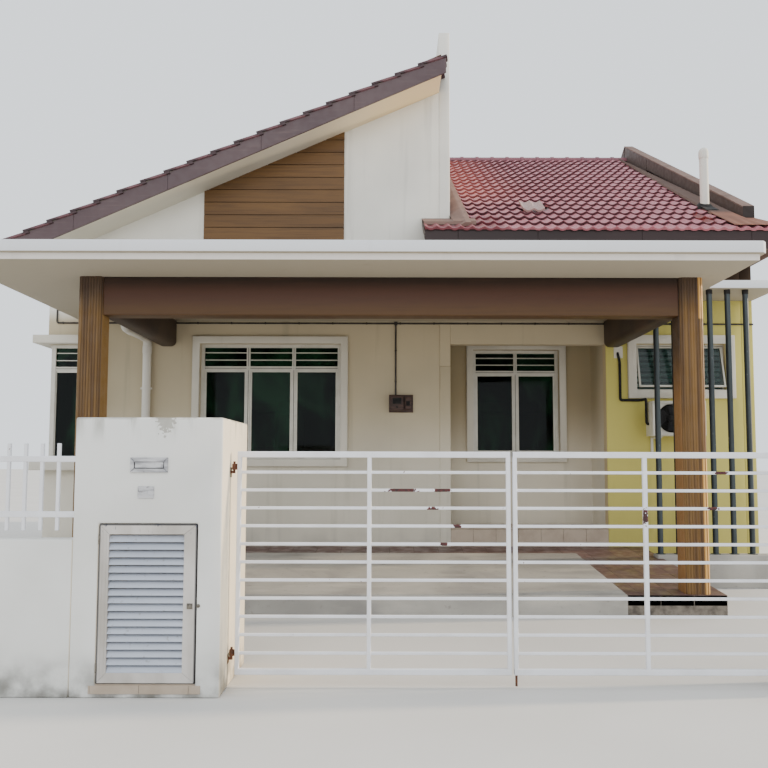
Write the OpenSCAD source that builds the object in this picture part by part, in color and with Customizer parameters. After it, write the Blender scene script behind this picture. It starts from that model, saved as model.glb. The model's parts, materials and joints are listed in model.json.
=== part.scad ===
// End-of-row bungalow with a carport, a monopitch wing, a low gable wing and its front gate.
// X runs to the right seen from the street, Y runs towards the back, Z up.
// The origin is where the front wall's centre line meets the spine wall's, on the lowest ground.

/* [Walls] */
// Distance from the spine wall's centre line to the left wall's outer face
left_face = 5130; // [4900:10:5400]
// Distance from the spine wall's centre line to the party wall's centre line
party_line = 3910; // [3800:10:4200]
// Depth of the house over its front and back walls
house_d = 9300; // [8800:50:10000]
// Thickness of the rendered brick walls
wall_t = 150; // [120:10:160]
// Thickness of the spine wall
fin_t = 140; // [120:10:150]
// Finished floor level above the lowest ground
floor_z = 627; // [580:1:680]
// Level of the spine wall's top at the front
fin_top = 7167; // [7100:1:7300]

/* [Entrance recess] */
// Right-hand corner of the recess
recess_right = 2075; // [1950:5:2150]
// Depth of the recess behind the front wall's face
recess_d = 750; // [700:10:850]
// Underside of the beam over the recess
recess_head = 2990; // [2900:10:3050]

/* [High roof] */
// Top of the tiled plane at the spine wall's centre line
high_top = 6634; // [6550:1:6700]
// Rise of the plane for each millimetre run
high_slope = 0.4385; // [0.42:0.0005:0.45]
// Vertical thickness of tiles and battens
high_t = 120; // [100:10:150]
// Depth of the verge and eave boards
verge_h = 262; // [240:1:280]
// Overhang of the verge beyond the gable wall
verge_out = 470; // [400:10:520]
// Overhang of the eave beyond the left wall
high_eave = 650; // [550:10:700]

/* [Low roof] */
// Level of the tiled plane at the ridge
ridge_z = 7330; // [7250:5:7400]
// Rise of the plane for each millimetre run
low_slope = 0.57; // [0.55:0.005:0.58]
// Vertical thickness of tiles and battens
low_t = 130; // [110:10:150]
// Overhang of the eave beyond the front wall
low_eave = 810; // [760:10:850]
// Height of the party parapet above the tiled plane at the ridge
parapet_h = 240; // [200:10:300]

/* [Carport] */
// Left edge of the flat roof's soffit
slab_left = 4728; // [4650:1:4800]
// Right edge of the flat roof's soffit
slab_right = 2620; // [2550:1:2630]
// Reach of the flat roof in front of the wall
slab_reach = 3040; // [2950:10:3100]
// Level of the soffit
soffit_z = 3288; // [3280:1:3300]
// Height of the lower edge band
band_low = 62; // [50:1:80]
// Height of the upper edge band
band_high = 110; // [90:1:130]
// Outset of the upper edge band
band_out = 50; // [30:5:60]
// Side of the square columns
column_w = 245; // [230:5:260]
// Radius of the column's corners
column_r = 50; // [30:5:70]
// Centre of the left column
column_left_x = -3660; // [-3700:5:-3620]
// Centre of the right column
column_right_x = 2245; // [2235:5:2280]
// Distance from the wall's face to the columns' centre line
column_out = 2285; // [2200:5:2350]
// Underside of the front beam
beam_z = 2907; // [2880:1:2930]
// Width of the front beam
beam_w = 200; // [180:10:220]
// Width of the side beams
side_beam_w = 230; // [200:10:250]
// Distance of the side beams inwards from the columns' centres
side_beam_in = 75; // [0:5:80]
// Underside of the side beams
side_beam_z = 2950; // [2930:5:2980]

/* [Boundary] */
// Width of the gate pier
pier_w = 945; // [900:5:1000]
// Depth of the gate pier
pier_d = 830; // [780:10:900]
// Height of the gate pier
pier_h = 1755; // [1700:5:1800]
// Left side of the gate pier
pier_left = -2726; // [-2740:1:-2700]
// Distance from the house's face to the pier's front
pier_front = 4950; // [4900:10:5000]
// Height of the low wall beside the pier
low_wall_h = 980; // [900:10:1050]
// Level of the gate's top rail
gate_top = 1543; // [1500:1:1600]
// Level of the gate's bottom rail
gate_bottom = 80; // [60:5:100]
// Number of rails in a gate leaf
gate_rails = 13; // [11:1:15]
// Length of a gate leaf
leaf_w = 1822; // [1800:1:1830]
// Gap between the closed leaves
leaf_gap = 16; // [12:1:20]

/* [Hidden] */
$fn = 48;
eps = 1;
face = -wall_t / 2;
inner = wall_t / 2;
back_face = face + house_d;
back_inner = back_face - wall_t;
left_x = -left_face;
left_inner = left_x + wall_t;
fin_x = fin_t / 2;
party_in = party_line - wall_t / 2;
party_out = party_line + wall_t / 2;
ridge_y = face + house_d / 2;
recess_y = face + recess_d;
stub_y = recess_y + wall_t;
stub_back = back_face - recess_d - wall_t;
portal_top = 2700;
high_end = left_x - high_eave;
verge_t = 25;
fascia_t = 25;
soffit_t = 15;
eave_drop = 200;
eave_rise = -26;
verge_drop = 75;
tile_rise = 0.5528;
tile_eave_z = 4226.5;
tile_under = 43;
tile_nose = 30;
tile_lift = 18;
roll_h = 25;
roll_flat = 0.24;
low_rolls = 30;
back_rolls = 28;
high_rolls = 72;
high_sink = 60;
ridge_cap_r = 115;
ridge_cap_rise = 59;
ridge_cap_step = 15;
parapet_out = 145;
parapet_end_h = 179;
vent_x = 3507;
vent_y = 164;
vent_r = 64;
vent_h = 1014;
vent_seat = 0.2;
siding_x0 = -3141;
siding_x1 = -1314;
siding_z = 3681;
siding_t = 25;
eave_y = face - low_eave;
tile_side = 20;
deck_in = 2;
tile_y = eave_y - fascia_t - tile_nose;
over_ridge = 300;
strip_x = -298;
strip_foot = [-700, 4410];
strip_head = [25, 4685];
sill = 1500;
head = 2990;
trim_w = 92;
trim_out = 50;
frame_in = -20;
frame_d = 60;
frame_w = 45;
transom_w = 55;
louvre_h = 250;
glass_t = 6;
pane_y = frame_in + frame_d / 2;

// Front window: centre, width
front_win = [-2252, 1816];
// Entrance window: centre, width, sill, head
entry_win = [1038, 1192];
entry_sill = 1558;
entry_head = 3025;
// High window on the yellow wall: centre, width, sill, head
hopper_win = [3040, 1158];
hopper_sill = 2400;
hopper_head = 2997;
hopper_trim = 110;
// Top-hung sash of that window, pushed open
hopper_angle = 12.5;
hopper_sash_w = 32;
hopper_sash_d = 28;
hopper_play = 4;
// Corner window: length of each leg from the wall's corner, sill and head
corner_leg = 570;
corner_sill = 1460;
corner_head = 2975;
corner_band = 105;
corner_out = 140;
corner_set = 35;
corner_x = left_x + corner_set;
corner_y = face + corner_set;
corner_length = corner_leg - corner_set;
// Windows and doors on the unseen sides
side_win_y = 5200;
back_left_win_x = -3500;
back_right_win_x = 2300;
rear_win_w = 1500;
door_w = 900;
door_h = 2100;
door_in = 60;
door_t = 45;
side_door_y = 2600;
back_door_x = -1300;

// Carport and boundary levels that follow from the values above
slab_y = face - slab_reach;
column_y = face - column_out;
side_beam_xs = [column_left_x + side_beam_in, column_right_x - side_beam_in];
side_beam_r = 70;
apron_front = 210;
apron_wall = 400;
apron_strip = 420;
apron_x0 = 1555;
apron_x1 = 2505;
apron_left = column_left_x - 350;
apron_w = apron_x1 - apron_x0;
apron_edge = column_y - column_w / 2 - 20;
apron_fall = (apron_wall - apron_front) / (column_out + column_w / 2);
over_apron = 600;
pier_right = pier_left + pier_w;
pier_y0 = face - pier_front;
pier_y1 = pier_y0 + pier_d;
pier_wall = 110;
bin_floor = 80;
bin_top = 1082;
bin_left = -2562;
bin_right = -1934;
bin_gap = 6;
bin_door_t = 35;
bin_head = 50;
bin_knuckle_r = 5;
bin_knuckle_h = 60;
gate_y = -4775;
gate_t = 30;
bar_h = 20;
top_bar_h = 40;
stile_w = 28;
middle_x = 868;
rail_t = 16;
eye_strap_t = 10;
drop_bolt_r = 8;
drop_bolt_z = 8;
hinge_left_x = pier_right + 23;
leaf_left_x0 = pier_right + 45;
leaf_left_x1 = leaf_left_x0 + leaf_w;
leaf_right_x0 = leaf_left_x1 + leaf_gap;
leaf_right_x1 = leaf_right_x0 + leaf_w;
hinge_right_x = leaf_right_x1 + 22;
post_x0 = hinge_right_x + 23;
post_w = 300;
post_h = 1600;
hinge_zs = [200, 1420];
pin_r = 8;
eye_r = 15;
eye_h = 40;
hook_h = 18;
hook_drop = 24;
hook_t = 16;
pin_over = 16;
end_post_h = 1620;
picket_pitch = 105;
picket_w = 22;
picket_z0 = 1030;
picket_z1 = 1590;
picket_rail_zs = [1115, 1470];
picket_rail_h = 38;
picket_rail_t = 30;
pole_r = 33;
pole_pitch = 218.5;
pole_x = 2502;
pole_y = -725;
pole_count = 6;
kerb_z = 388;
kerb_w = 170;
kerb_x0 = pole_x - 62;
ledge_z = 3560;
ledge_t = 100;
ledge_out = 750;
ledge_x0 = recess_right + 20;
pipe_x = -3825;
pipe_y = -145;
pipe_r = 55;
pipe_head = 3038;
pipe_branch_y = -990;
pipe_bracket_zs = [1000, 2400];
pipe_bracket = 30;
conduit_z = 3254;
conduit_r = 11;
conduit_x0 = -5018;
conduit_x1 = 3985;
conduit_rise = 170;
meter_x = -636;
meter_top = 2328;

// Levels of the roof planes
function high_z(x) = high_top + high_slope * x;
function high_under(x) = high_z(x) - high_t;
function low_z(y) = ridge_z - low_slope * abs(y - ridge_y);
function low_under(y) = low_z(y) - low_t;

// Level that the low roof's tiles lie on
function tile_z(y) = tile_eave_z + tile_rise * (y - tile_y);

// Level of the carport's floor, which falls towards the street
function apron_z(y) = apron_wall + (y - face) * apron_fall;

// A block from its low corner to its high corner
module block(a, b) {
    translate(a) cube(b - a);
}

// An outline drawn in X and Z, run from y0 to y1
module along_y(y0, y1) {
    translate([0, y1, 0]) rotate([90, 0, 0]) linear_extrude(y1 - y0) children();
}

// An outline drawn in Y and Z, run from x0 to x1
module along_x(x0, x1) {
    translate([x0, 0, 0]) rotate([90, 0, 90]) linear_extrude(x1 - x0) children();
}

// A rectangular hole through a wall that faces front or back
module hole_y(win, z0, z1, y) {
    block([win[0] - win[1] / 2, y - wall_t, z0], [win[0] + win[1] / 2, y + wall_t, z1]);
}

// Roof tiles in cross-section: rolls with flat crests over a level underside
module rolls(count, pitch) {
    polygon([[0, -tile_under], [0, tile_lift + roll_h], for (i = [0:count], side = [-1, 1], half = [-1, 1])
        let (turn = i + (side < 0 ? half * roll_flat / 2 : 0.5 + half * roll_flat / 2))
        if (turn > 0 && turn < count) [turn * pitch, tile_lift - side * roll_h],
        [count * pitch, tile_lift + roll_h], [count * pitch, -tile_under]]);
}

// Rolls of tiles up a slope, from its left eave corner
module tile_slope(count, width, rise, run) {
    translate([0, run, run * rise]) rotate([90 + atan(rise), 0, 0])
        linear_extrude(run * sqrt(1 + rise * rise)) rolls(count, width / count);
}

// The monopitch gable's outline between two X values
module high_gable(x0, x1) {
    polygon([[x0, 0], [x1, 0], [x1, high_under(x1)], [x0, high_under(x0)]]);
}

// Centre and width of one leg of the corner window, from where its frame starts
function corner_leg_win(start) = [start + corner_length / 2, corner_length];

// A band of constant width around a rectangular opening
module ring(win, z0, z1, w) {
    difference() {
        translate([win[0] - win[1] / 2 - w, z0 - w]) square([win[1] + 2 * w, z1 - z0 + 2 * w]);
        translate([win[0] - win[1] / 2, z0]) square([win[1], z1 - z0]);
    }
}

// The holes of a window frame: lites below the transom and louvre bays above it
module lites(win, z0, z1, cols) {
    x0 = win[0] - win[1] / 2 + frame_w;
    w = (win[1] - frame_w * (cols + 1)) / cols;
    top = z1 - frame_w - louvre_h;
    for (i = [0:cols - 1]) {
        translate([x0 + i * (w + frame_w), z0 + frame_w]) square([w, top - transom_w - z0 - frame_w]);
        translate([x0 + i * (w + frame_w), top]) square([w, louvre_h]);
    }
}

// A window frame in outline: the opening less its lites
module frame_outline(win, z0, z1, cols) {
    difference() {
        translate([win[0] - win[1] / 2, z0]) square([win[1], z1 - z0]);
        lites(win, z0, z1, cols);
    }
}

// WALLS
module front_wall() {
    color([0.78, 0.75, 0.70]) difference() {
        along_y(face, inner) high_gable(left_x, -fin_x);
        hole_y(front_win, sill, head, 0);
        block([left_x - eps, face - eps, corner_sill], [left_x + corner_leg, inner + eps, corner_head]);
    }
}

module left_wall() {
    color([0.78, 0.75, 0.70]) difference() {
        along_y(inner, back_inner) high_gable(left_x, left_inner);
        block([left_x - eps, inner - eps, corner_sill],
            [left_inner + eps, face + corner_leg, corner_head]);
        block([left_x - eps, side_win_y - rear_win_w / 2, sill],
            [left_inner + eps, side_win_y + rear_win_w / 2, head]);
        block([left_x - eps, side_door_y - door_w / 2, floor_z],
            [left_inner + eps, side_door_y + door_w / 2, floor_z + door_h]);
    }
}

module back_wall() {
    color([0.78, 0.75, 0.70]) {
        difference() {
            along_y(back_inner, back_face) high_gable(left_x, -fin_x);
            hole_y([back_left_win_x, rear_win_w], sill, head, back_face);
            hole_y([back_door_x, door_w], floor_z, floor_z + door_h, back_face);
        }
        difference() {
            along_x(fin_x, party_in) polygon([[back_inner, 0], [back_face, 0],
                [back_face, low_under(back_face)], [back_inner, low_under(back_inner)]]);
            hole_y([back_right_win_x, rear_win_w], sill, head, back_face);
        }
    }
}

module party_wall() {
    color([0.80, 0.78, 0.74]) along_x(party_in, party_out) polygon([[face, 0], [back_face, 0],
        [back_face, low_z(back_face)], [ridge_y, ridge_z], [face, low_z(face)]]);
}

// The spine wall stands proud of both roofs and follows the low roof near the ridge
module fin_wall() {
    rise = ridge_z + parapet_h;
    run = (rise - fin_top) / low_slope;
    color([0.82, 0.81, 0.78]) along_x(-fin_x, fin_x) polygon([[face, portal_top], [back_face, portal_top],
        [back_face, fin_top], [ridge_y + run, fin_top], [ridge_y, rise], [ridge_y - run, fin_top],
        [face, fin_top]]);
}

module fin_piers() {
    color([0.78, 0.75, 0.70]) {
        block([-fin_x, face, 0], [fin_x, stub_y, portal_top]);
        block([-fin_x, stub_back, 0], [fin_x, back_face, portal_top]);
    }
}

module recess_walls() {
    color([0.76, 0.72, 0.66]) difference() {
        union() {
            block([fin_x, recess_y, 0], [recess_right + wall_t, stub_y, low_under(recess_y)]);
            block([recess_right, inner, 0], [recess_right + wall_t, recess_y + eps, low_under(inner)]);
        }
        hole_y(entry_win, entry_sill, entry_head, recess_y + wall_t / 2);
    }
}

module recess_lintel() {
    color([0.78, 0.75, 0.70]) along_x(fin_x, recess_right) polygon([[face, recess_head],
        [inner, recess_head], [inner, low_under(inner)], [face, low_under(face)]]);
}

module yellow_wall() {
    color([0.72, 0.67, 0.36]) difference() {
        along_x(recess_right, party_in) polygon([[face, 0], [inner, 0],
            [inner, low_under(inner)], [face, low_under(face)]]);
        hole_y(hopper_win, hopper_sill, hopper_head, 0);
    }
}

// FLOORS
module floor_slab() {
    color([0.62, 0.60, 0.57]) {
        block([left_inner, inner, 0], [-fin_x, back_inner, floor_z]);
        block([fin_x, stub_y, 0], [party_in, back_inner, floor_z]);
        block([recess_right + wall_t, inner, 0], [party_in, stub_y + eps, floor_z]);
        block([-fin_x - eps, stub_y, 0], [fin_x + eps, stub_back, floor_z]);
    }
}

module entrance_platform() {
    color([0.66, 0.60, 0.55]) block([fin_x, face, 0], [recess_right, recess_y, floor_z]);
}

// Tiled strips along the wall and beside the drive, falling towards the street
module porch_apron() {
    color([0.35, 0.25, 0.24]) difference() {
        union() {
            apron_run(apron_left, apron_x1, face - apron_strip, face);
            for (x = [apron_left, apron_x0]) apron_run(x, x + apron_w, apron_edge, face);
        }
        for (x = [column_left_x, column_right_x]) translate([x, column_y, -eps])
            linear_extrude(over_apron) column_outline();
        translate([pipe_x, pipe_y, -eps]) cylinder(r = pipe_r, h = over_apron);
        block([kerb_x0, pole_y - kerb_w / 2, -eps], [apron_x1 + eps, pole_y + kerb_w / 2, over_apron]);
    }
}

// Concrete bay for the car between the tiled strips
module carport_floor() {
    color([0.68, 0.67, 0.65]) apron_run(apron_left + apron_w, apron_x0, apron_edge, face - apron_strip);
}

// A length of the falling floor from the ground up to its sloping top
module apron_run(x0, x1, y0, y1) {
    along_x(x0, x1) polygon([[y0, 0], [y1, 0], [y1, apron_z(y1)], [y0, apron_z(y0)]]);
}

// HIGH ROOF
// Deck between the verge boards, and tiles that lap over them
module high_roof() {
    x = high_end - fascia_t - tile_nose;
    y = back_face + verge_out + verge_t + tile_side;
    color([0.40, 0.24, 0.26]) difference() {
        union() {
            along_y(face - verge_out, back_face + verge_out) polygon([
                [high_end, high_z(high_end) - verge_drop], [-fin_x, high_z(-fin_x) - verge_drop],
                [-fin_x, high_under(-fin_x)], [high_end, high_under(high_end)]]);
            translate([x, y, high_z(x) - high_sink]) rotate([0, 0, -90])
                tile_slope(high_rolls, 2 * y - 2 * ridge_y, high_slope, -fin_x - x + over_ridge);
        }
        block([-fin_x, -y, 0], [over_ridge, y + eps, 2 * fin_top]);
        high_fascia();
    }
}

// Verge boards at both gables and the eave board that joins them
module high_fascia() {
    lap = 60;
    x0 = high_end - fascia_t;
    x1 = -fin_x + lap;
    color([0.29, 0.24, 0.26]) {
        for (y = [face - verge_out - verge_t, back_face + verge_out])
            along_y(y, y + verge_t) verge_board(x0, x1);
        along_y(face - verge_out, back_face + verge_out) verge_board(x0, high_end);
    }
}

// A board under the tiles' edge in outline, between two X values
module verge_board(x0, x1) {
    polygon([[x0, high_z(x0) - verge_drop], [x1, high_z(x1) - verge_drop],
        [x1, high_z(x1) - verge_h], [x0, high_z(x0) - verge_h]]);
}

// Boards that close the undersides of the eaves and verges
module eave_soffits() {
    z = low_z(eave_y) - eave_drop;
    color([0.80, 0.79, 0.76]) {
        difference() {
            along_y(face - verge_out, back_face + verge_out) polygon([
                [high_end, high_z(high_end) - verge_h], [-fin_x, high_z(-fin_x) - verge_h],
                [-fin_x, high_z(-fin_x) - verge_h + soffit_t],
                [high_end, high_z(high_end) - verge_h + soffit_t]]);
            block([left_x, face, 0], [0, back_face, fin_top]);
        }
    }
    color([0.30, 0.21, 0.17]) {
        block([strip_x, eave_y, z], [party_out, face, z + soffit_t]);
        block([fin_x, back_face, z], [party_out, back_face + low_eave, z + soffit_t]);
    }
}

// LOW ROOF
// The front slope from its eave to the ridge: deck, tiles and half of the ridge cap.
// Left of the spine wall a flatter cap ends the tiles.
module low_slope_half(x0, count) {
    difference() {
        union() {
            along_x(x0 + deck_in, party_out - deck_in) low_deck();
            translate([x0, tile_y, tile_eave_z]) tile_slope(count, party_out - x0, tile_rise,
                ridge_y - tile_y + over_ridge);
            along_x(fin_x, party_in) ridge_cap();
        }
        block([x0 - eps, face, 0], [fin_x, ridge_y + eps, 2 * ridge_z]);
        block([party_in, face, 0], [party_out + eps, ridge_y + eps, 2 * ridge_z]);
        block([x0 - eps, ridge_y, 0], [party_out + eps, ridge_y + 2 * over_ridge, 2 * ridge_z]);
        if (x0 < fin_x) along_x(x0 - eps, fin_x) polygon([strip_foot, strip_head, [strip_head.x, ridge_z],
            [strip_foot.x, ridge_z]]);
        roof_parapet();
    }
}

// Roof boards that rest on the walls and taper to the ridge
module low_deck() {
    lap = 10;
    top = tile_under - lap;
    polygon([[eave_y, tile_z(eave_y) - top], [ridge_y, tile_z(ridge_y) - top],
        [ridge_y, tile_z(ridge_y) - top - low_t / 2], [stub_y, low_under(stub_y)],
        [eave_y, low_under(eave_y)]]);
}

module ridge_cap() {
    middle_z = tile_z(ridge_y) + ridge_cap_rise - ridge_cap_r;
    polygon([for (turn = [0:ridge_cap_step:180])
        [ridge_y + ridge_cap_r * cos(turn), middle_z + ridge_cap_r * sin(turn)]]);
}

module low_roof_front() {
    color([0.58, 0.33, 0.35]) low_slope_half(strip_x, low_rolls);
}

module low_roof_back() {
    color([0.58, 0.33, 0.35]) translate([0, 2 * ridge_y, 0]) mirror([0, 1, 0])
        low_slope_half(fin_x, back_rolls);
}

module low_fascias() {
    z = low_z(eave_y);
    color([0.27, 0.20, 0.20]) {
        block([strip_x, eave_y - fascia_t, z - eave_drop], [party_out, eave_y, z + eave_rise]);
        block([fin_x, back_face + low_eave, z - eave_drop],
            [party_out, back_face + low_eave + fascia_t, z + eave_rise]);
    }
}

// The party wall's top, clad in sheet metal, lower at its plumb ends than at the ridge
module roof_parapet() {
    y0 = face - parapet_out;
    y1 = back_face + parapet_out;
    color([0.46, 0.38, 0.36]) along_x(party_in, party_out) polygon([[y0, low_z(y0)],
        [ridge_y, ridge_z], [y1, low_z(y1)], [y1, low_z(y1) + parapet_end_h],
        [ridge_y, ridge_z + parapet_h], [y0, low_z(y0) + parapet_end_h]]);
}

// A soil vent through the low roof
module vent_pipe() {
    crest = (tile_lift + roll_h) * sqrt(1 + tile_rise * tile_rise) + vent_seat;
    color([0.86, 0.86, 0.85]) difference() {
        translate([vent_x, vent_y, low_under(vent_y)]) cylinder(r = vent_r, h = vent_h);
        along_x(vent_x - 2 * vent_r, vent_x + 2 * vent_r) polygon([[0, 0], [2 * vent_y, 0],
            [2 * vent_y, tile_z(2 * vent_y) + crest], [0, tile_z(0) + crest]]);
    }
}

// A panel of horizontal boards in the gable, up to the sloping soffit
module siding_panel() {
    color([0.49, 0.36, 0.22]) along_y(face - siding_t, face) polygon([[siding_x0, siding_z],
        [siding_x1, siding_z], [siding_x1, high_z(siding_x1) - verge_h],
        [siding_x0, high_z(siding_x0) - verge_h]]);
}

// CARPORT
// Flat roof with a two-step edge
module porch_slab() {
    c = 40;
    color([0.80, 0.80, 0.79]) {
        block([-slab_left, slab_y, soffit_z], [slab_right, face, soffit_z + band_low]);
        translate([0, 0, soffit_z + band_low]) linear_extrude(band_high) polygon([
            [-slab_left - band_out, face], [-slab_left - band_out, slab_y - band_out + c],
            [-slab_left - band_out + c, slab_y - band_out], [slab_right + band_out - c, slab_y - band_out],
            [slab_right + band_out, slab_y - band_out + c], [slab_right + band_out, face]]);
    }
}

module porch_beam() {
    color([0.40, 0.28, 0.18]) block([column_left_x + column_w / 2, column_y - beam_w / 2, beam_z],
        [column_right_x - column_w / 2, column_y + beam_w / 2, soffit_z]);
}

// Beams from the columns to the wall, with rounded undersides
module side_beams() {
    r = side_beam_r;
    half = side_beam_w / 2;
    color([0.20, 0.15, 0.12]) for (x = side_beam_xs)
        along_y(column_y + column_w / 2, face) union() {
            translate([x - half, side_beam_z + r]) square([2 * half, soffit_z - side_beam_z - r]);
            translate([x - half + r, side_beam_z]) square([2 * half - 2 * r, r + eps]);
            for (s = [-1, 1]) translate([x + s * (half - r), side_beam_z + r]) circle(r);
        }
}

module column_outline() {
    a = column_w / 2;
    b = a - column_r;
    square([2 * a, 2 * b], center = true);
    square([2 * b, 2 * a], center = true);
    for (sx = [-b, b], sy = [-b, b]) translate([sx, sy]) circle(column_r);
}

module column(x) {
    translate([x, column_y, 0]) linear_extrude(soffit_z) column_outline();
}

module column_left() {
    color([0.44, 0.31, 0.17]) column(column_left_x);
}

module column_right() {
    color([0.44, 0.31, 0.17]) column(column_right_x);
}

// Downpipe, with the branch that brings it the flat roof's water
module downpipe() {
    reach = pipe_y - pipe_branch_y;
    color([0.78, 0.75, 0.70]) {
        translate([pipe_x, pipe_y, 0]) cylinder(r = pipe_r, h = pipe_head);
        translate([pipe_x, pipe_y, pipe_head]) sphere(r = pipe_r);
        translate([pipe_x, pipe_branch_y, pipe_head]) rotate([-90, 0, 0]) cylinder(r = pipe_r, h = reach);
        translate([pipe_x, pipe_branch_y, pipe_head]) sphere(r = pipe_r);
        translate([pipe_x, pipe_branch_y, pipe_head]) cylinder(r = pipe_r, h = soffit_z - pipe_head);
        for (z = pipe_bracket_zs) block([pipe_x - pipe_bracket / 2, pipe_y, z - pipe_bracket / 2],
            [pipe_x + pipe_bracket / 2, face, z + pipe_bracket / 2]);
    }
}

// WINDOWS
module front_window_frame() {
    color([0.80, 0.79, 0.74]) along_y(frame_in, frame_in + frame_d) frame_outline(front_win, sill, head, 3);
}

module entrance_window_frame() {
    y = recess_y + wall_t / 2 + frame_in;
    color([0.80, 0.79, 0.74]) along_y(y, y + frame_d)
        frame_outline(entry_win, entry_sill, entry_head, 2);
}

// Two legs that meet in a post at the wall's corner
module corner_window_frame() {
    color([0.80, 0.79, 0.74]) {
        along_y(corner_y, corner_y + frame_d)
            frame_outline(corner_leg_win(corner_x), corner_sill, corner_head, 1);
        along_x(corner_x, corner_x + frame_d)
            frame_outline(corner_leg_win(corner_y), corner_sill, corner_head, 1);
        block([corner_x, corner_y, corner_sill], [corner_x + frame_d, corner_y + frame_d, corner_head]);
    }
}

module hopper_window_frame() {
    color([0.82, 0.81, 0.77]) {
        along_y(frame_in, frame_in + frame_d) difference() {
            hopper_inset(0);
            hopper_inset(frame_w);
        }
        hopper_open() along_y(frame_in, frame_in + hopper_sash_d) difference() {
            hopper_inset(frame_w + hopper_play);
            hopper_inset(frame_w + hopper_play + hopper_sash_w);
        }
        for (x = [hopper_win[0] - hopper_win[1] / 4, hopper_win[0] + hopper_win[1] / 4])
            translate([x, frame_in, hopper_head - frame_w]) rotate([0, 90, 0])
                cylinder(r = 3 * hopper_play, h = hopper_sash_w);
    }
}

// The high window's opening in outline, less a border
module hopper_inset(border) {
    translate([hopper_win[0] - hopper_win[1] / 2 + border, hopper_sill + border])
        square([hopper_win[1] - 2 * border, hopper_head - hopper_sill - 2 * border]);
}

// Swings a shape out about the high window's top hinge line
module hopper_open() {
    top = hopper_head - frame_w - hopper_play;
    translate([0, frame_in, top]) rotate([-hopper_angle, 0, 0]) translate([0, -frame_in, -top]) children();
}

module rear_window_frames() {
    color([0.80, 0.79, 0.74]) {
        for (x = [back_left_win_x, back_right_win_x])
            along_y(back_face - wall_t / 2 - frame_in - frame_d, back_face - wall_t / 2 - frame_in)
                frame_outline([x, rear_win_w], sill, head, 2);
        along_x(left_x + wall_t / 2 + frame_in, left_x + wall_t / 2 + frame_in + frame_d)
            frame_outline([side_win_y, rear_win_w], sill, head, 2);
    }
}

// Panes, one in each lite
module front_glass() {
    x = corner_x + frame_d / 2;
    y = corner_y + frame_d / 2;
    color([0.10, 0.20, 0.17]) {
        along_y(pane_y, pane_y + glass_t) lites(front_win, sill, head, 3);
        hopper_open() along_y(frame_in + hopper_play, frame_in + hopper_play + glass_t)
            hopper_inset(frame_w + hopper_play + hopper_sash_w);
        along_y(recess_y + wall_t / 2 + pane_y, recess_y + wall_t / 2 + pane_y + glass_t)
            lites(entry_win, entry_sill, entry_head, 2);
        along_y(y, y + glass_t) corner_lites(corner_x);
        along_x(x, x + glass_t) corner_lites(corner_y);
    }
}

// The lites of one leg of the corner window, less the post that it shares
module corner_lites(start) {
    difference() {
        lites(corner_leg_win(start), corner_sill, corner_head, 1);
        translate([start, corner_sill]) square([frame_d, corner_head - corner_sill]);
    }
}

module rear_glass() {
    y = back_face - wall_t / 2 - pane_y;
    x0 = left_x + wall_t / 2 + pane_y;
    color([0.10, 0.20, 0.17]) {
        for (x = [back_left_win_x, back_right_win_x])
            along_y(y, y + glass_t) lites([x, rear_win_w], sill, head, 2);
        along_x(x0, x0 + glass_t) lites([side_win_y, rear_win_w], sill, head, 2);
    }
}

// Raised plaster bands around the openings
module front_surrounds() {
    color([0.82, 0.80, 0.75]) {
        along_y(face - trim_out, face) ring(front_win, sill, head, trim_w);
        along_y(recess_y - trim_out, recess_y) ring(entry_win, entry_sill, entry_head, trim_w);
        along_y(face - trim_out, face) ring(hopper_win, hopper_sill, hopper_head, hopper_trim);
    }
}

// Hood and sill bands that turn the corner, closed by a band at each end
module corner_surround() {
    out = corner_out;
    end = corner_leg + corner_band;
    color([0.80, 0.79, 0.75]) {
        for (z = [corner_sill - corner_band, corner_head]) {
            block([left_x - out, face - out, z], [left_x + end, face, z + corner_band]);
            block([left_x - out, face - eps, z], [left_x, face + end, z + corner_band]);
        }
        block([left_x + corner_leg, face - out, corner_sill - eps],
            [left_x + end, face, corner_head + eps]);
        block([left_x - out, face + corner_leg, corner_sill - eps],
            [left_x, face + end, corner_head + eps]);
    }
}

module rear_surrounds() {
    color([0.82, 0.80, 0.75]) {
        for (x = [back_left_win_x, back_right_win_x])
            along_y(back_face, back_face + trim_out) ring([x, rear_win_w], sill, head, trim_w);
        along_x(left_x - trim_out, left_x) ring([side_win_y, rear_win_w], sill, head, trim_w);
    }
}

// Closed outer doors on the unseen sides
module outer_doors() {
    color([0.36, 0.25, 0.17]) {
        block([left_x + door_in, side_door_y - door_w / 2, floor_z],
            [left_x + door_in + door_t, side_door_y + door_w / 2, floor_z + door_h]);
        block([back_door_x - door_w / 2, back_face - door_in - door_t, floor_z],
            [back_door_x + door_w / 2, back_face - door_in, floor_z + door_h]);
    }
}

// SCREEN AND SERVICES
// The first pole stops under the carport's roof
module screen_poles() {
    color([0.29, 0.33, 0.36]) for (i = [0:pole_count - 1])
        translate([pole_x + i * pole_pitch, pole_y, kerb_z])
            cylinder(r = pole_r, h = (i == 0 ? soffit_z : ledge_z) - kerb_z);
}

module screen_ledge() {
    color([0.80, 0.80, 0.78]) block([ledge_x0, face - ledge_out, ledge_z],
        [party_out, face, ledge_z + ledge_t]);
}

module screen_kerb() {
    color([0.55, 0.55, 0.54]) block([kerb_x0, pole_y - kerb_w / 2, 0],
        [party_out, pole_y + kerb_w / 2, kerb_z]);
}

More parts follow.
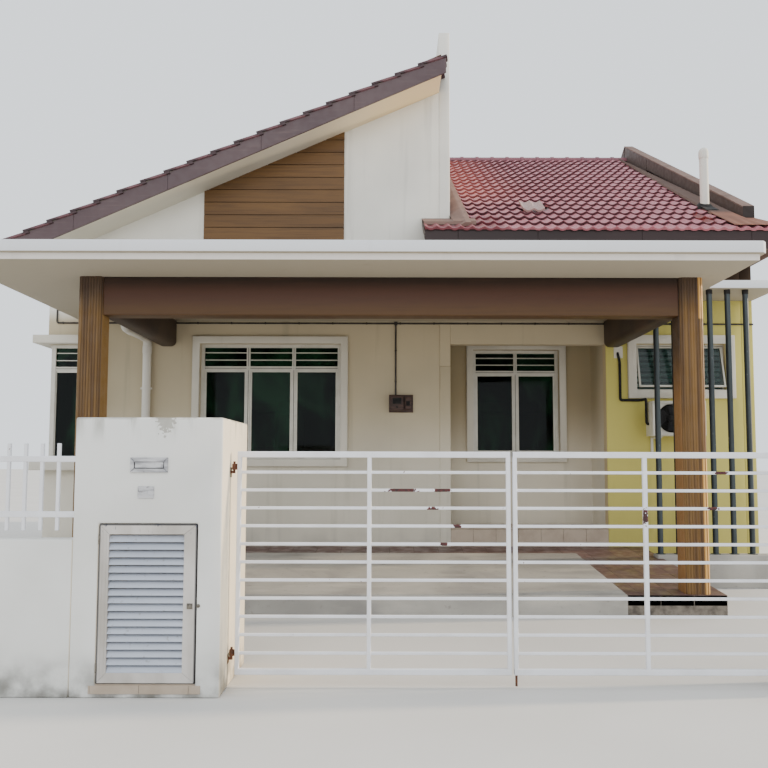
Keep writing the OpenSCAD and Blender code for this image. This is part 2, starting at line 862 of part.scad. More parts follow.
// Outdoor unit on two wall brackets
module ac_unit() {
    x0 = 2537;
    x1 = 3197;
    y0 = -455;
    y1 = -195;
    z0 = 1800;
    z1 = 2230;
    fan_x = 2772;
    fan_r = 175;
    fan_d = 90;
    bar = 30;
    drop = 250;
    color([0.80, 0.79, 0.75]) {
        difference() {
            block([x0, y0, z0], [x1, y1, z1]);
            translate([fan_x, y0 - eps, (z0 + z1) / 2]) rotate([-90, 0, 0]) cylinder(r = fan_r, h = fan_d);
        }
        for (x = [x0 + 3 * bar, x1 - 4 * bar]) {
            block([x, y0 + bar, z0 - bar], [x + bar, face, z0]);
            block([x, face - bar, z0 - drop], [x + bar, face, z0 - bar + eps]);
        }
    }
}

// Insulated pipe from the wall sleeve, down and across to the unit's left side
module ac_pipe() {
    r = 14;
    x0 = 2222;
    x1 = 2510;
    side = 2537;
    y0 = face - 20;
    y1 = -300;
    top = 2880;
    run_z = 2265;
    end_z = 1950;
    color([0.08, 0.08, 0.08]) {
        translate([x0, y0, run_z]) cylinder(r = r, h = top - run_z);
        translate([x0, y0, top]) rotate([-90, 0, 0]) cylinder(r = r, h = face - y0);
        translate([x0, y0, run_z]) rotate([0, 90, 0]) cylinder(r = r, h = x1 - x0);
        translate([x1, y0, run_z]) rotate([90, 0, 0]) cylinder(r = r, h = y0 - y1);
        translate([x1, y1, end_z]) cylinder(r = r, h = run_z - end_z);
        translate([x1, y1, end_z]) rotate([0, 90, 0]) cylinder(r = r, h = side - x1);
        for (p = [[x0, y0, top], [x0, y0, run_z], [x1, y0, run_z], [x1, y1, run_z], [x1, y1, end_z]])
            translate(p) sphere(r = r);
    }
}

module meter_board() {
    x0 = -722;
    board = [309, 30, 226];
    meter = [160, 80, 190];
    breaker = [80, 45, 160];
    z0 = meter_top - board.z;
    gap = 22;
    color([0.22, 0.15, 0.12]) translate([x0, face - board.y, z0]) cube(board);
    translate([x0 + gap, face - board.y, z0 + board.z / 2]) {
        color([0.10, 0.10, 0.10]) translate([0, -meter.y, -meter.z / 2])
            cube([meter.x, meter.y + eps, meter.z]);
        color([0.80, 0.80, 0.78]) translate([meter.x + gap, -breaker.y, -breaker.z / 2])
            cube([breaker.x, breaker.y + eps, breaker.z]);
    }
}

// Cable conduit clipped along the wall, with the drop to the meter
module conduit() {
    y = face - conduit_r;
    half = side_beam_w / 2;
    runs = [[conduit_x0, side_beam_xs[0] - half], [side_beam_xs[0] + half, side_beam_xs[1] - half],
        [side_beam_xs[1] + half, conduit_x1]];
    color([0.12, 0.11, 0.11]) {
        for (run = runs) translate([run[0], y, conduit_z]) rotate([0, 90, 0])
            cylinder(r = conduit_r, h = run[1] - run[0]);
        translate([conduit_x0, y, conduit_z]) sphere(r = conduit_r);
        translate([conduit_x0, y, conduit_z]) cylinder(r = conduit_r, h = conduit_rise);
        translate([meter_x, y, meter_top]) cylinder(r = conduit_r, h = conduit_z - meter_top);
    }
}

// BOUNDARY
// Hollow pier with a compartment for the dustbin behind its louvred door
module gate_pier() {
    color([0.80, 0.80, 0.79]) difference() {
        block([pier_left, pier_y0, 0], [pier_right, pier_y1, pier_h]);
        block([pier_left + pier_wall, pier_y0 + pier_wall, bin_floor],
            [pier_right - pier_wall, pier_y1 - pier_wall, bin_top + bin_head]);
        block([bin_left, pier_y0 - eps, bin_floor], [bin_right, pier_y0 + pier_wall + eps, bin_top]);
    }
}

// Louvred aluminium leaf: a frame filled with sloping slats
module bin_door() {
    x0 = bin_left + bin_gap;
    x1 = bin_right - bin_gap;
    z0 = bin_floor + 2 * bin_gap;
    z1 = bin_top - bin_gap;
    rim = 62;
    slats = 18;
    pitch = (z1 - z0 - 2 * rim) / slats;
    slat_t = 4;
    slat_d = bin_door_t - 5;
    knob = [x1 - 35, 620];
    knob_r = 14;
    knob_out = 12;
    color([0.70, 0.71, 0.73]) {
        difference() {
            block([x0, pier_y0, z0], [x1, pier_y0 + bin_door_t, z1]);
            block([x0 + rim, pier_y0 - eps, z0 + rim], [x1 - rim, pier_y0 + bin_door_t + eps, z1 - rim]);
        }
        for (i = [0:slats - 1])
            along_x(x0 + rim - eps, x1 - rim + eps) translate([pier_y0, z0 + rim + i * pitch])
                polygon([[slat_t, 0], [2 * slat_t, 0], [slat_d, pitch - 1.5 * slat_t],
                    [slat_d, pitch - slat_t / 2], [slat_d - slat_t, pitch - slat_t / 2]]);
        translate([knob[0], pier_y0 - knob_out, knob[1]]) rotate([-90, 0, 0])
            cylinder(r = knob_r, h = knob_out + 2);
        for (z = [z0 + rim, z1 - rim - bin_knuckle_h])
            translate([x0, pier_y0, z]) cylinder(r = bin_knuckle_r, h = bin_knuckle_h);
    }
}

// Letter slot and the small service plate under it
module letter_plate() {
    letter = [239, 12, 94];
    letter_at = [-2369, 1405];
    rim = 24;
    service = [102, 10, 76];
    service_at = [-2318, 1240];
    color([0.70, 0.70, 0.70]) {
        difference() {
            translate([letter_at[0], pier_y0 - letter.y, letter_at[1]]) cube(letter);
            translate([letter_at[0] + rim, pier_y0 - letter.y - eps, letter_at[1] + rim])
                cube([letter.x - 2 * rim, letter.y / 2, letter.z - 2 * rim]);
        }
        translate([service_at[0], pier_y0 - service.y, service_at[1]]) cube(service);
    }
}

// Low wall that runs from the pier to an end post
module low_wall() {
    color([0.80, 0.80, 0.79]) {
        block([left_x, pier_y0, 0], [pier_left, pier_y0 + wall_t, low_wall_h]);
        block([left_x, pier_y0, low_wall_h - eps], [left_x + wall_t, pier_y0 + wall_t, end_post_h]);
    }
}

// Pickets on two rails between the end post and the pier
module picket_fence() {
    y = pier_y0 + wall_t / 2;
    x0 = left_x + wall_t;
    n = floor((pier_left - x0) / picket_pitch);
    start = x0 + (pier_left - x0 - (n - 1) * picket_pitch) / 2;
    color([0.86, 0.87, 0.88]) {
        for (z = picket_rail_zs) block([x0, y - picket_rail_t / 2, z],
            [pier_left, y + picket_rail_t / 2, z + picket_rail_h]);
        for (i = [0:n - 1]) translate([start + i * picket_pitch - picket_w / 2, y - picket_w / 2, picket_z0])
            cube([picket_w, picket_w, picket_z1 - picket_z0]);
    }
}

// Hinge hooks let into the pier and the post, each with an upright pin
module gate_hooks() {
    color([0.35, 0.20, 0.14]) for (z = hinge_zs) {
        block([pier_right, gate_y - hook_t / 2, z - hook_drop],
            [hinge_left_x, gate_y + hook_t / 2, z - hook_drop + hook_h]);
        block([hinge_right_x, gate_y - hook_t / 2, z - hook_drop],
            [post_x0, gate_y + hook_t / 2, z - hook_drop + hook_h]);
        for (x = [hinge_left_x, hinge_right_x]) translate([x, gate_y, z - hook_drop])
            cylinder(r = pin_r, h = hook_drop + eye_h + pin_over);
    }
}

module gate_post() {
    color([0.80, 0.80, 0.79]) block([post_x0, gate_y - post_w / 2, 0],
        [post_x0 + post_w, gate_y + post_w / 2, post_h]);
}

// A leaf of thirteen rails between stiles, hung on the side where its eyes are
module gate_leaf(x0, eye_x, middle) {
    y0 = gate_y - gate_t / 2;
    y1 = gate_y + gate_t / 2;
    x1 = x0 + leaf_w;
    near = eye_x < x0 ? x0 + 2 : x1 - 2;
    step = (gate_top - top_bar_h / 2 - gate_bottom - top_bar_h / 2) / (gate_rails - 1);
    block([x0, y0, gate_top - top_bar_h], [x1, y1, gate_top]);
    block([x0, y0, gate_bottom], [x1, y1, gate_bottom + top_bar_h]);
    for (i = [1:gate_rails - 2])
        block([x0 + eps, gate_y - rail_t / 2, gate_bottom + (top_bar_h - bar_h) / 2 + i * step],
            [x1 - eps, gate_y + rail_t / 2, gate_bottom + (top_bar_h + bar_h) / 2 + i * step]);
    for (x = [x0, x1 - stile_w, middle]) block([x, y0, gate_bottom], [x + stile_w, y1, gate_top]);
    for (z = hinge_zs) difference() {
        union() {
            translate([eye_x, gate_y, z]) cylinder(r = eye_r, h = eye_h);
            block([min(eye_x, near), gate_y - eye_strap_t / 2, z],
                [max(eye_x, near), gate_y + eye_strap_t / 2, z + eye_h]);
        }
        translate([eye_x, gate_y, z - eps]) cylinder(r = pin_r + 1, h = eye_h + 2 * eps);
    }
}

module gate_leaf_left() {
    color([0.86, 0.87, 0.88]) gate_leaf(leaf_left_x0, hinge_left_x, leaf_left_x0 + middle_x);
}

// The right leaf carries the drop bolt
module gate_leaf_right() {
    color([0.86, 0.87, 0.88]) {
        gate_leaf(leaf_right_x0, hinge_right_x, leaf_right_x0 + middle_x);
        translate([leaf_right_x0 + stile_w / 2, gate_y, drop_bolt_z])
            cylinder(r = drop_bolt_r, h = gate_bottom - drop_bolt_z + eps);
    }
}

front_wall();
left_wall();
back_wall();
party_wall();
fin_wall();
fin_piers();
recess_walls();
recess_lintel();
yellow_wall();
floor_slab();
entrance_platform();
porch_apron();
carport_floor();
high_roof();
high_fascia();
low_roof_front();
low_roof_back();
low_fascias();
eave_soffits();
roof_parapet();
vent_pipe();
siding_panel();
porch_slab();
porch_beam();
side_beams();
column_left();
column_right();
downpipe();
front_window_frame();
entrance_window_frame();
corner_window_frame();
hopper_window_frame();
rear_window_frames();
front_glass();
rear_glass();
front_surrounds();
corner_surround();
rear_surrounds();
outer_doors();
screen_poles();
screen_ledge();
screen_kerb();
ac_unit();
ac_pipe();
meter_board();
conduit();
gate_pier();
bin_door();
letter_plate();
low_wall();
picket_fence();
gate_hooks();
gate_post();
gate_leaf_left();
gate_leaf_right();
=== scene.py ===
"""Looks of an end-of-row bungalow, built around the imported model's frame. All lengths are in metres."""

import json
import math
from itertools import product

import bmesh
import bpy
import numpy as np
from mathutils import Matrix, Vector

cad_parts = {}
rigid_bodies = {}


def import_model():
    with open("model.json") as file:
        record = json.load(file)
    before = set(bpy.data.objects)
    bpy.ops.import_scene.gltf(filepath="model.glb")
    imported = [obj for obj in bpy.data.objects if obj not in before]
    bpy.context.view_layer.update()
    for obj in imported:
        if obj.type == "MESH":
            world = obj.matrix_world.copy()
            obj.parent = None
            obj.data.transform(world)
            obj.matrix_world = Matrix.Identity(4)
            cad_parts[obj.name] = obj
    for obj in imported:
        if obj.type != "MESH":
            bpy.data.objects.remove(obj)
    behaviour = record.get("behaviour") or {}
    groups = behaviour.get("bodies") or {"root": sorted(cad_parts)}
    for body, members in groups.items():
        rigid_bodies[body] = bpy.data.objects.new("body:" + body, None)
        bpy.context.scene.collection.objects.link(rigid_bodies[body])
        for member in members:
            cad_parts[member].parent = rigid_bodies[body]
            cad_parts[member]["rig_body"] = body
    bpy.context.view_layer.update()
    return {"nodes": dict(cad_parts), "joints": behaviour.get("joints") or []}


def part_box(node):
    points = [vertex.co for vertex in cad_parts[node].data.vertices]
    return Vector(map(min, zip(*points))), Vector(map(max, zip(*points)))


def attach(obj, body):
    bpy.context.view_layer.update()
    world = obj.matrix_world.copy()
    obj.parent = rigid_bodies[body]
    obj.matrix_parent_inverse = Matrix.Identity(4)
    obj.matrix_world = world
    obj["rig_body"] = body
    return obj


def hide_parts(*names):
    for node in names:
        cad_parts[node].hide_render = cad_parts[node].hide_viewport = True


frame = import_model()
hinges = {joint["name"]: Vector(joint["pos_m"]) for joint in frame["joints"]}

X = Vector((1, 0, 0))
Y = Vector((0, 1, 0))
Z = Vector((0, 0, 1))

# Photograph's frame and the camera that took it
PHOTO_PX = 768
FOCAL_PX = 769
SENSOR = 36
CAMERA_AT = (-0.728, -9.935, 1.48)
CAMERA_PITCH = 93.96
CAMERA_ROLL = 0.12
SHIFT_RIGHT_PX = 4.5
SHIFT_UP_PX = 23.8


def link(name, data):
    """A new object of the data, in the scene."""
    thing = bpy.data.objects.new(name, data)
    bpy.context.scene.collection.objects.link(thing)
    return thing


def make_camera():
    data = bpy.data.cameras.new("camera")
    data.sensor_width = SENSOR
    data.lens = SENSOR * FOCAL_PX / PHOTO_PX
    data.shift_x = -SHIFT_RIGHT_PX / PHOTO_PX
    data.shift_y = SHIFT_UP_PX / PHOTO_PX
    data.clip_end = 200
    camera = link("camera", data)
    camera.location = CAMERA_AT
    pitch = Matrix.Rotation(math.radians(CAMERA_PITCH), 3, "X")
    roll = Matrix.Rotation(math.radians(CAMERA_ROLL), 3, "Z")
    camera.rotation_euler = (pitch @ roll).to_euler()
    bpy.context.scene.camera = camera


make_camera()


# MATERIALS
MIX_A = 6
MIX_B = 7
MIX_OUT = 2
LOOKS = {}


def linear(colour):
    """An sRGB colour of 0 to 255 in a shader's linear values, or a socket as it is."""
    if isinstance(colour, bpy.types.NodeSocket):
        return colour
    shares = [channel / 255 for channel in colour]
    return [s / 12.92 if s <= 0.04045 else ((s + 0.055) / 1.055) ** 2.4 for s in shares] + [1.0]


class Finish:
    """One procedural material, its colour laid on in layers. Its textures follow the piece's own metres."""

    def __init__(self, name, colour, roughness, specular, metallic=0.0, slot=None):
        self.name = name
        self.material = bpy.data.materials.new(name + "_look")
        self.material["slot"] = slot or name
        self.material.use_nodes = True
        self.tree = self.material.node_tree
        self.shader = self.tree.nodes["Principled BSDF"]
        self.feed(self.shader, {"Roughness": roughness, "Specular IOR Level": specular,
                                "Metallic": metallic})
        self.place = self.node("TexCoord").outputs["Object"]
        self.base = colour
        self.normal = None

    def feed(self, node, inputs):
        """Links or sets each input of a node."""
        for key, value in inputs.items():
            if isinstance(value, bpy.types.NodeSocket):
                self.tree.links.new(value, node.inputs[key])
            else:
                node.inputs[key].default_value = value

    def node(self, kind, inputs=None, **settings):
        node = self.tree.nodes.new("ShaderNode" + kind)
        for key, value in settings.items():
            setattr(node, key, value)
        self.feed(node, inputs or {})
        return node

    def maths(self, operation, a, b):
        return self.node("Math", {0: a, 1: b}, operation=operation).outputs[0]

    def times(self, a, b):
        return self.maths("MULTIPLY", a, b)

    def mix(self, share, a, b):
        inputs = {0: share, MIX_A: linear(a), MIX_B: linear(b)}
        return self.node("Mix", inputs, data_type="RGBA").outputs[MIX_OUT]

    def fade(self, value, start, end, high=1.0, low=0.0):
        """Goes from low to high as a value goes from start to end."""
        ends = {"From Min": start, "From Max": end, "To Min": low, "To Max": high}
        return self.node("MapRange", {"Value": value, **ends}, interpolation_type="SMOOTHSTEP").outputs[0]

    def along(self, axis, start, end, share=1.0):
        """A fade over the piece's own metres along an axis."""
        return self.fade(self.node("SeparateXYZ", {0: self.place}).outputs[axis], start, end, share)

    def facing(self, axis, start, end, share=1.0):
        """A fade over the way that the piece's surface faces, from -1 to 1 along an axis."""
        normal = self.node("NewGeometry").outputs["True Normal"]
        turn = self.node("VectorTransform", {0: normal}, vector_type="NORMAL", convert_from="WORLD",
                         convert_to="OBJECT")
        return self.fade(self.node("SeparateXYZ", {0: turn.outputs[0]}).outputs[axis], start, end, share)

    def noise(self, scale, detail, stretch=(1, 1, 1), warp=0.0):
        mapping = self.node("Mapping", {"Vector": self.place, "Scale": stretch})
        inputs = {"Vector": mapping.outputs[0], "Scale": scale, "Detail": detail, "Distortion": warp}
        return self.node("TexNoise", inputs).outputs["Fac"]

    def cloud(self, start, end, share, *noise):
        """Patches of noise, as strong as the share."""
        return self.fade(self.noise(*noise), start, end, share)

    def tint(self, name="shade"):
        """The shade that each tile or board was given, from 0 to 1, or another number stored on the mesh."""
        return self.node("Attribute", attribute_name=name).outputs["Fac"]

    def spots(self, places, radius, ragged):
        """1 within a radius of any of the places, with a ragged rim, and 0 elsewhere."""
        rim = self.times(self.maths("SUBTRACT", self.noise(60, 3), 0.5), ragged * radius * 4)
        total = 0.0
        for place, stretch in places:
            move = self.node("VectorMath", {0: self.place, 1: place}, operation="SUBTRACT")
            scale = self.node("VectorMath", {0: move.outputs[0], 1: stretch}, operation="MULTIPLY")
            length = self.node("VectorMath", {0: scale.outputs[0]}, operation="LENGTH").outputs["Value"]
            inside = self.maths("LESS_THAN", self.maths("ADD", length, rim), radius)
            total = self.maths("MAXIMUM", total, inside)
        return total

    def over(self, share, colour):
        """Lays a colour over what is there."""
        self.base = self.mix(share, self.base, colour)

    def patches(self, colour, *cloud):
        self.over(self.cloud(*cloud), colour)

    def sheen(self, low, high, *noise):
        self.feed(self.shader, {"Roughness": self.fade(self.noise(*noise), 0.3, 0.7, high, low)})

    def relief(self, height, depth):
        inputs = {"Height": height, "Distance": depth}
        if self.normal is not None:
            inputs["Normal"] = self.normal
        self.normal = self.node("Bump", inputs).outputs[0]
        self.feed(self.shader, {"Normal": self.normal})

    def done(self, *grits):
        """Keeps the material under its name, with a bump for each depth and noise."""
        for depth, *noise in grits:
            self.relief(self.noise(*noise), depth)
        self.feed(self.shader, {"Base Color": linear(self.base)})
        LOOKS[self.name] = self.material


def plain(name, colour, roughness, specular, *patches, metallic=0.0, slot=None, tint=None, sheen=None,
          alpha=1.0, grit=None):
    """A colour under patches, each given by its colour, start, end, share and noise. The tint is a second
    colour for tiles and boards, the sheen two roughnesses and a noise, and the grit a depth and a noise."""
    f = Finish(name, colour, roughness, specular, metallic, slot)
    if tint:
        f.over(f.tint(), tint)
    for patch in patches:
        f.patches(*patch)
    if sheen:
        f.sheen(*sheen)
    f.feed(f.shader, {"Alpha": alpha})
    f.done(*[grit] if grit else ())


DIRT = (120, 116, 104)
SOOT = (96, 93, 86)
RUNS = (3.2, 3.2, 0.16)


def plaster(name, colour, carport_shade=None, dirt=0.25, splash=0.6, seed=0.0):
    """Painted render: mottled, with faint runs and a splashed foot. The optional colour is painted shade
    under the carport slab, darkest near the slab, with a darker painted shade in the recess.
    """
    f = Finish(name, colour, 0.9, 0.25)
    if carport_shade:
        # painted shade under the carport slab: darker near the slab, paler towards the floor, and darker
        # again in the recess
        tone = f.mix(f.along("Z", 2.3, 1.1), carport_shade, (214, 208, 193))
        recess = f.mix(f.along("Z", 2.4, 1.2), (172, 157, 126), (222, 214, 196))
        f.over(f.along("Z", 3.45, 3.25), f.mix(f.along("Y", 0.02, 0.5), tone, recess))
    f.patches(DIRT, 0.35, 0.7, 0.16, 0.9 + seed, 3)
    f.patches(DIRT, 0.56, 0.8, dirt, 2.6 + seed, 5, RUNS)
    f.over(f.times(f.along("Z", 0.75, 0.0), f.cloud(0.35, 0.75, splash, 3.5, 6)), SOOT)
    f.sheen(0.82, 0.95, 5, 2)
    f.done((0.006, 1.6, 2), (0.0006, 160, 3))


def two_faced_paint(name, side, slot):
    """Yellow on the street face, dark brown paint above the screen's ledge with painted shade darkening it
    towards the eave, and another tone round the corner.
    """
    f = Finish(name, side, 0.88, 0.25, slot=slot)
    street = f.facing("Y", -0.05, -0.2)
    f.over(street, (208, 198, 112))
    f.patches((150, 140, 84), 0.35, 0.75, 0.2, 0.8, 4)
    f.patches((126, 118, 74), 0.55, 0.8, 0.3, 2.2, 5, RUNS)
    # brown paint above the ledge, with painted shade darkening it towards the eave
    brown = f.mix(f.along("Z", 3.66, 3.95), (80, 60, 44), (56, 44, 35))
    brown = f.mix(f.cloud(0.35, 0.7, 0.5, 2.4, 4), brown, (66, 50, 38))
    f.over(f.times(street, f.along("Z", 3.56, 3.58)), brown)
    f.done((0.006, 1.6, 2), (0.0006, 160, 3))


def pier_paint():
    """White boundary paint with painted sunlight in warm cream on the faces towards +X, grey runs under the
    top edge and damp at the foot.
    """
    f = Finish("pier_paint", (228, 228, 224), 0.88, 0.3, slot="white_paint")
    # painted sunlight: warm cream on the faces towards +X
    f.over(f.facing("X", 0.5, 0.8), (240, 230, 210))
    f.patches(DIRT, 0.35, 0.7, 0.14, 1.4, 4)
    f.over(f.times(f.along("Z", 1.56, 1.76), f.cloud(0.5, 0.72, 0.55, 7, 5, (2, 2, 0.3))), (122, 120, 104))
    f.over(f.times(f.along("Z", 1.735, 1.756), f.cloud(0.35, 0.6, 0.55, 9, 4)), (104, 100, 90))
    f.over(f.times(f.along("Z", 0.32, 0.0), f.cloud(0.3, 0.7, 0.85, 6, 6)), (92, 88, 78))
    stain = f.spots([((-2.15, -4.98, 1.73), (0.9, 0.3, 0.6))], 0.05, 0.5)
    f.over(f.times(stain, 0.6), (128, 122, 106))
    f.done((0.005, 1.8, 2), (0.0006, 150, 3))


def slab_paint():
    """White carport roof: bluish bands, a cream soffit, and a bare, stained top."""
    f = Finish("slab_paint", (226, 220, 214), 0.85, 0.3, slot="white_paint")
    up = f.facing("Z", 0.4, 0.6)
    f.over(f.along("Z", 3.345, 3.352), (224, 226, 230))
    f.over(f.facing("Z", -0.4, -0.6), (172, 163, 145))
    f.over(up, (150, 148, 142))
    f.over(f.times(up, f.cloud(0.45, 0.7, 0.75, 0.7, 6, (1, 1, 1), 0.6)), (96, 94, 88))
    f.patches(DIRT, 0.56, 0.85, 0.16, 3.0, 5, (2.0, 2.0, 0.2))
    f.done((0.004, 1.3, 3), (0.0006, 130, 3))


def roof_tile(name, slot, colour, pale, dark, sun_shade_and_repair=None):
    """Coated concrete tile: a shade for each tile, chalky crests, and dark noses and laps, which are painted
    shade with some dirt.
    """
    f = Finish(name, colour, 0.5, 0.5, slot=slot)
    f.over(f.fade(f.tint(), 0.0, 1.0, 0.3), pale)
    f.patches(dark, 0.4, 0.7, 0.25, 1.1, 4)
    f.patches(pale, 0.45, 0.75, 0.35, 26, 4)
    # painted shade with some dirt: dark on each nose above the first course, and on the strip just below the
    # next course's nose
    course = f.tint("course")
    nose_and_lap_shade = f.maths("MAXIMUM", f.fade(course, 0.66, 0.80, 0.85), f.fade(course, -0.02, -0.5, 0.95))
    f.over(nose_and_lap_shade, [channel * 0.62 for channel in dark])
    f.sheen(0.42, 0.62, 40, 3)
    if sun_shade_and_repair:
        sun_shade_and_repair(f)
    f.done((0.0008, 220, 3))


def sun_and_repair(f):
    """Painted sunlight at the upper left, painted shade at the foot under the strip cap, repair paint by the
    vent, and one grey tile.
    """
    # painted sunlight at the upper left, then painted shade at the foot under the strip cap
    f.over(f.times(f.along("X", 1.5, 0.2, 0.6), f.along("Z", 4.9, 5.6)), (186, 104, 98))
    f.over(f.times(f.along("X", 0.75, 0.6, 0.7), f.along("Z", 4.64, 4.58)), (112, 46, 54))
    f.over(f.spots([((3.27, -0.40, 4.575), (1.0, 0.36, 0.36))], 0.11, 0.3), (116, 36, 32))
    f.over(f.fade(f.tint(), 1.4, 1.6), (160, 132, 126))


def soffit_board():
    """Pale boards under the high roof, warmed by painted sunlight towards their right end, and dark brown
    ones under the low roof's eaves.
    """
    f = Finish("soffit_board", (230, 224, 208), 0.75, 0.3)
    f.patches(DIRT, 0.35, 0.7, 0.15, 1.2, 3)
    # painted sunlight: warm cream towards the right end
    f.over(f.along("X", -2.2, -0.4, 0.8), (255, 228, 174))
    brown = f.mix(f.cloud(0.35, 0.7, 1.0, 3, 4), (98, 68, 52), (76, 52, 42))
    f.over(f.times(f.along("Z", 4.05, 4.04), f.along("X", -0.32, -0.3)), brown)
    f.done((0.0006, 70, 3))


def sheet_metal():
    """Taupe coated sheet, with painted sky light where it faces up and painted shade on its front end."""
    f = Finish("parapet_sheet", (86, 71, 66), 0.65, 0.3)
    # painted sky light on the faces that look up, and painted shade on the front end
    f.over(f.facing("Z", 0.2, 0.85, 0.6), (126, 108, 102))
    f.over(f.facing("Y", -0.6, -0.8), (46, 37, 34))
    f.patches((70, 57, 53), 0.4, 0.75, 0.45, 3.2, 5)
    f.patches((58, 47, 44), 0.55, 0.8, 0.15, 4, 5, (2, 2, 0.2))
    f.sheen(0.45, 0.7, 14, 3)
    f.done((0.004, 2.4, 2))


def flashing_sheet():
    """Pinkish taupe by the spine wall, darker by the parapet, and orange-brown round its front end."""
    f = Finish("flashing_sheet", (134, 110, 101), 0.8, 0.15, slot="parapet_sheet")
    right = f.along("X", 2.0, 2.2)
    f.over(right, (98, 79, 71))
    f.over(f.times(right, f.along("Y", -0.12, -0.26)), (128, 90, 76))
    f.patches((74, 60, 56), 0.4, 0.75, 0.3, 3.2, 5)
    f.done((0.002, 6, 2))


def column_paint():
    """Brown combed coating with light and dark upright streaks, and painted sunlight and shade: lighter
    towards the sunny right, gold sunlit edges, and painted shade on the left faces and under the slab.
    """
    f = Finish("column_paint", (84, 58, 26), 0.5, 0.45)
    comb = (20, 4, (1.4, 1.4, 0.03))
    f.patches((118, 87, 40), 0.38, 0.62, 1.0, *comb)
    f.patches((78, 52, 28), 0.4, 0.75, 0.4, 3.5, 4, (1, 1, 0.4))
    # painted sunlight: lighter streaks towards the right of the right column
    f.over(f.times(f.along("X", 2.14, 2.32, 0.55), f.cloud(0.3, 0.5, 1.0, *comb)), (134, 99, 50))
    # painted shade on the right column's left face, darkest towards the slab
    left_face = f.times(f.along("X", 2.135, 2.126, 0.75), f.along("X", 2.0, 2.05))
    f.over(left_face, f.mix(f.along("Z", 2.0, 2.7), (140, 100, 54), (52, 38, 28)))
    # painted sunlight on the left column's right face
    f.over(f.times(f.along("X", -3.546, -3.540, 0.7), f.along("X", -3.4, -3.5)), (152, 116, 62))
    sunny = f.along("X", 2.300, 2.322)
    # painted shade under the slab, except on the sunlit strip
    f.over(f.times(f.along("Z", 2.90, 3.22, 0.8), f.maths("SUBTRACT", 1.0, sunny)), (56, 40, 33))
    # painted sunlight: gold on the front of the sunlit strip, at the top and the foot
    lit = f.maths("ADD", f.along("Z", 2.87, 2.89, 0.8), f.along("Z", 1.52, 1.50, 0.8))
    f.over(f.times(lit, f.times(sunny, f.facing("Y", -0.3, -0.6))), (244, 188, 104))
    # painted shade: a narrow darker strip near the right edge
    f.over(f.times(f.along("X", 2.326, 2.332), f.along("X", 2.350, 2.344, 0.7)), (104, 70, 34))
    f.sheen(0.4, 0.62, 9, 3)
    f.done((0.0008, 120, 3, (1, 1, 0.1)))


def beam_paint():
    # brown paint with painted shade under the slab: darkest at the top, reddish lower down, yellow-brown at
    # the foot
    f = Finish("beam_paint", (42, 30, 24), 0.55, 0.4)
    f.over(f.along("Z", 3.28, 3.12), (76, 47, 33))
    f.over(f.along("Z", 3.10, 2.93), (84, 58, 31))
    f.patches((70, 46, 32), 0.45, 0.7, 0.35, 30, 5, (0.06, 1, 1))
    f.done((0.0008, 80, 4, (0.3, 1, 1)))


def glass():
    """Green-tinted panes, mirror-like outside, their near-black colour painted shade of the dim room behind,
    with a film of dust.
    """
    f = Finish("window_glass", (7, 13, 10), 0.04, 0.14)
    f.patches((24, 54, 36), 0.42, 0.66, 1.0, 1.9, 4, (1.0, 1.0, 0.6), 1.2)
    f.feed(f.shader, {"Roughness": f.fade(f.noise(3, 3), 0.4, 0.8, 0.12, 0.03), "Alpha": 0.86})
    f.done((0.0015, 1.4, 2))


def pole_paint():
    f = Finish("pole_paint", (62, 71, 73), 0.5, 0.4, 0.1)
    f.patches((50, 58, 60), 0.35, 0.7, 1.0, 7, 4, (1, 1, 0.25))
    # painted shade: near-black on the side towards -X
    f.over(f.facing("X", -0.35, -0.75, 0.85), (24, 28, 33))
    f.patches((128, 132, 134), 0.66, 0.74, 0.55, 28, 5, (1, 1, 0.5))
    f.sheen(0.35, 0.55, 20, 3)
    f.done()


def bin_frame():
    """Old painted rim of the bin door, with painted shade along its outer edges and dark smears along its
    top.
    """
    f = Finish("bin_frame_alu", (206, 201, 196), 0.5, 0.45, 0.2, "louvre_alu")
    f.patches((176, 170, 162), 0.35, 0.7, 1.0, 5, 4, (1, 1, 0.4))
    # painted shade in the gaps round the rim, at both sides and the top
    sides = f.maths("MAXIMUM", f.along("X", -2.546, -2.550), f.along("X", -1.949, -1.944))
    f.over(f.times(f.maths("MAXIMUM", sides, f.along("Z", 1.067, 1.071)), 0.85), (58, 58, 62))
    smear = f.cloud(0.6, 0.68, 0.85, 26, 5, (1.0, 1.0, 0.35), 0.8)
    f.over(f.times(smear, f.along("Z", 0.98, 1.02)), (70, 72, 84))
    f.done((0.0006, 60, 3))


CHIPS = [((-0.635, -4.783, 1.286), (0.26, 1, 1)), ((-0.367, -4.783, 1.286), (0.42, 1, 1)),
         ((-0.430, -4.783, 1.160), (0.7, 1, 1.6)), ((-0.268, -4.783, 1.049), (1, 1, 1)),
         ((-0.358, -4.783, 0.930), (1.1, 1, 1)), ((1.493, -4.783, 1.404), (0.6, 1, 1.2)),
         ((1.433, -4.783, 1.167), (0.68, 1, 1.3)), ((0.980, -4.790, 1.110), (1.2, 1, 0.5))]


def gate_paint():
    """White gloss over maroon primer, which shows in chips and at small rust spots."""
    f = Finish("gate_paint", (232, 233, 238), 0.4, 0.5)
    f.patches((180, 176, 170), 0.4, 0.75, 0.25, 4, 4)
    f.patches((104, 62, 46), 0.735, 0.75, 1.0, 38, 4)
    chips = f.spots(CHIPS, 0.024, 0.6)
    f.over(chips, f.mix(f.cloud(0.4, 0.6, 1.0, 60, 3), (84, 24, 24), (44, 20, 20)))
    f.sheen(0.32, 0.52, 14, 3)
    f.relief(f.maths("SUBTRACT", f.noise(60, 2), chips), 0.0006)
    f.done()


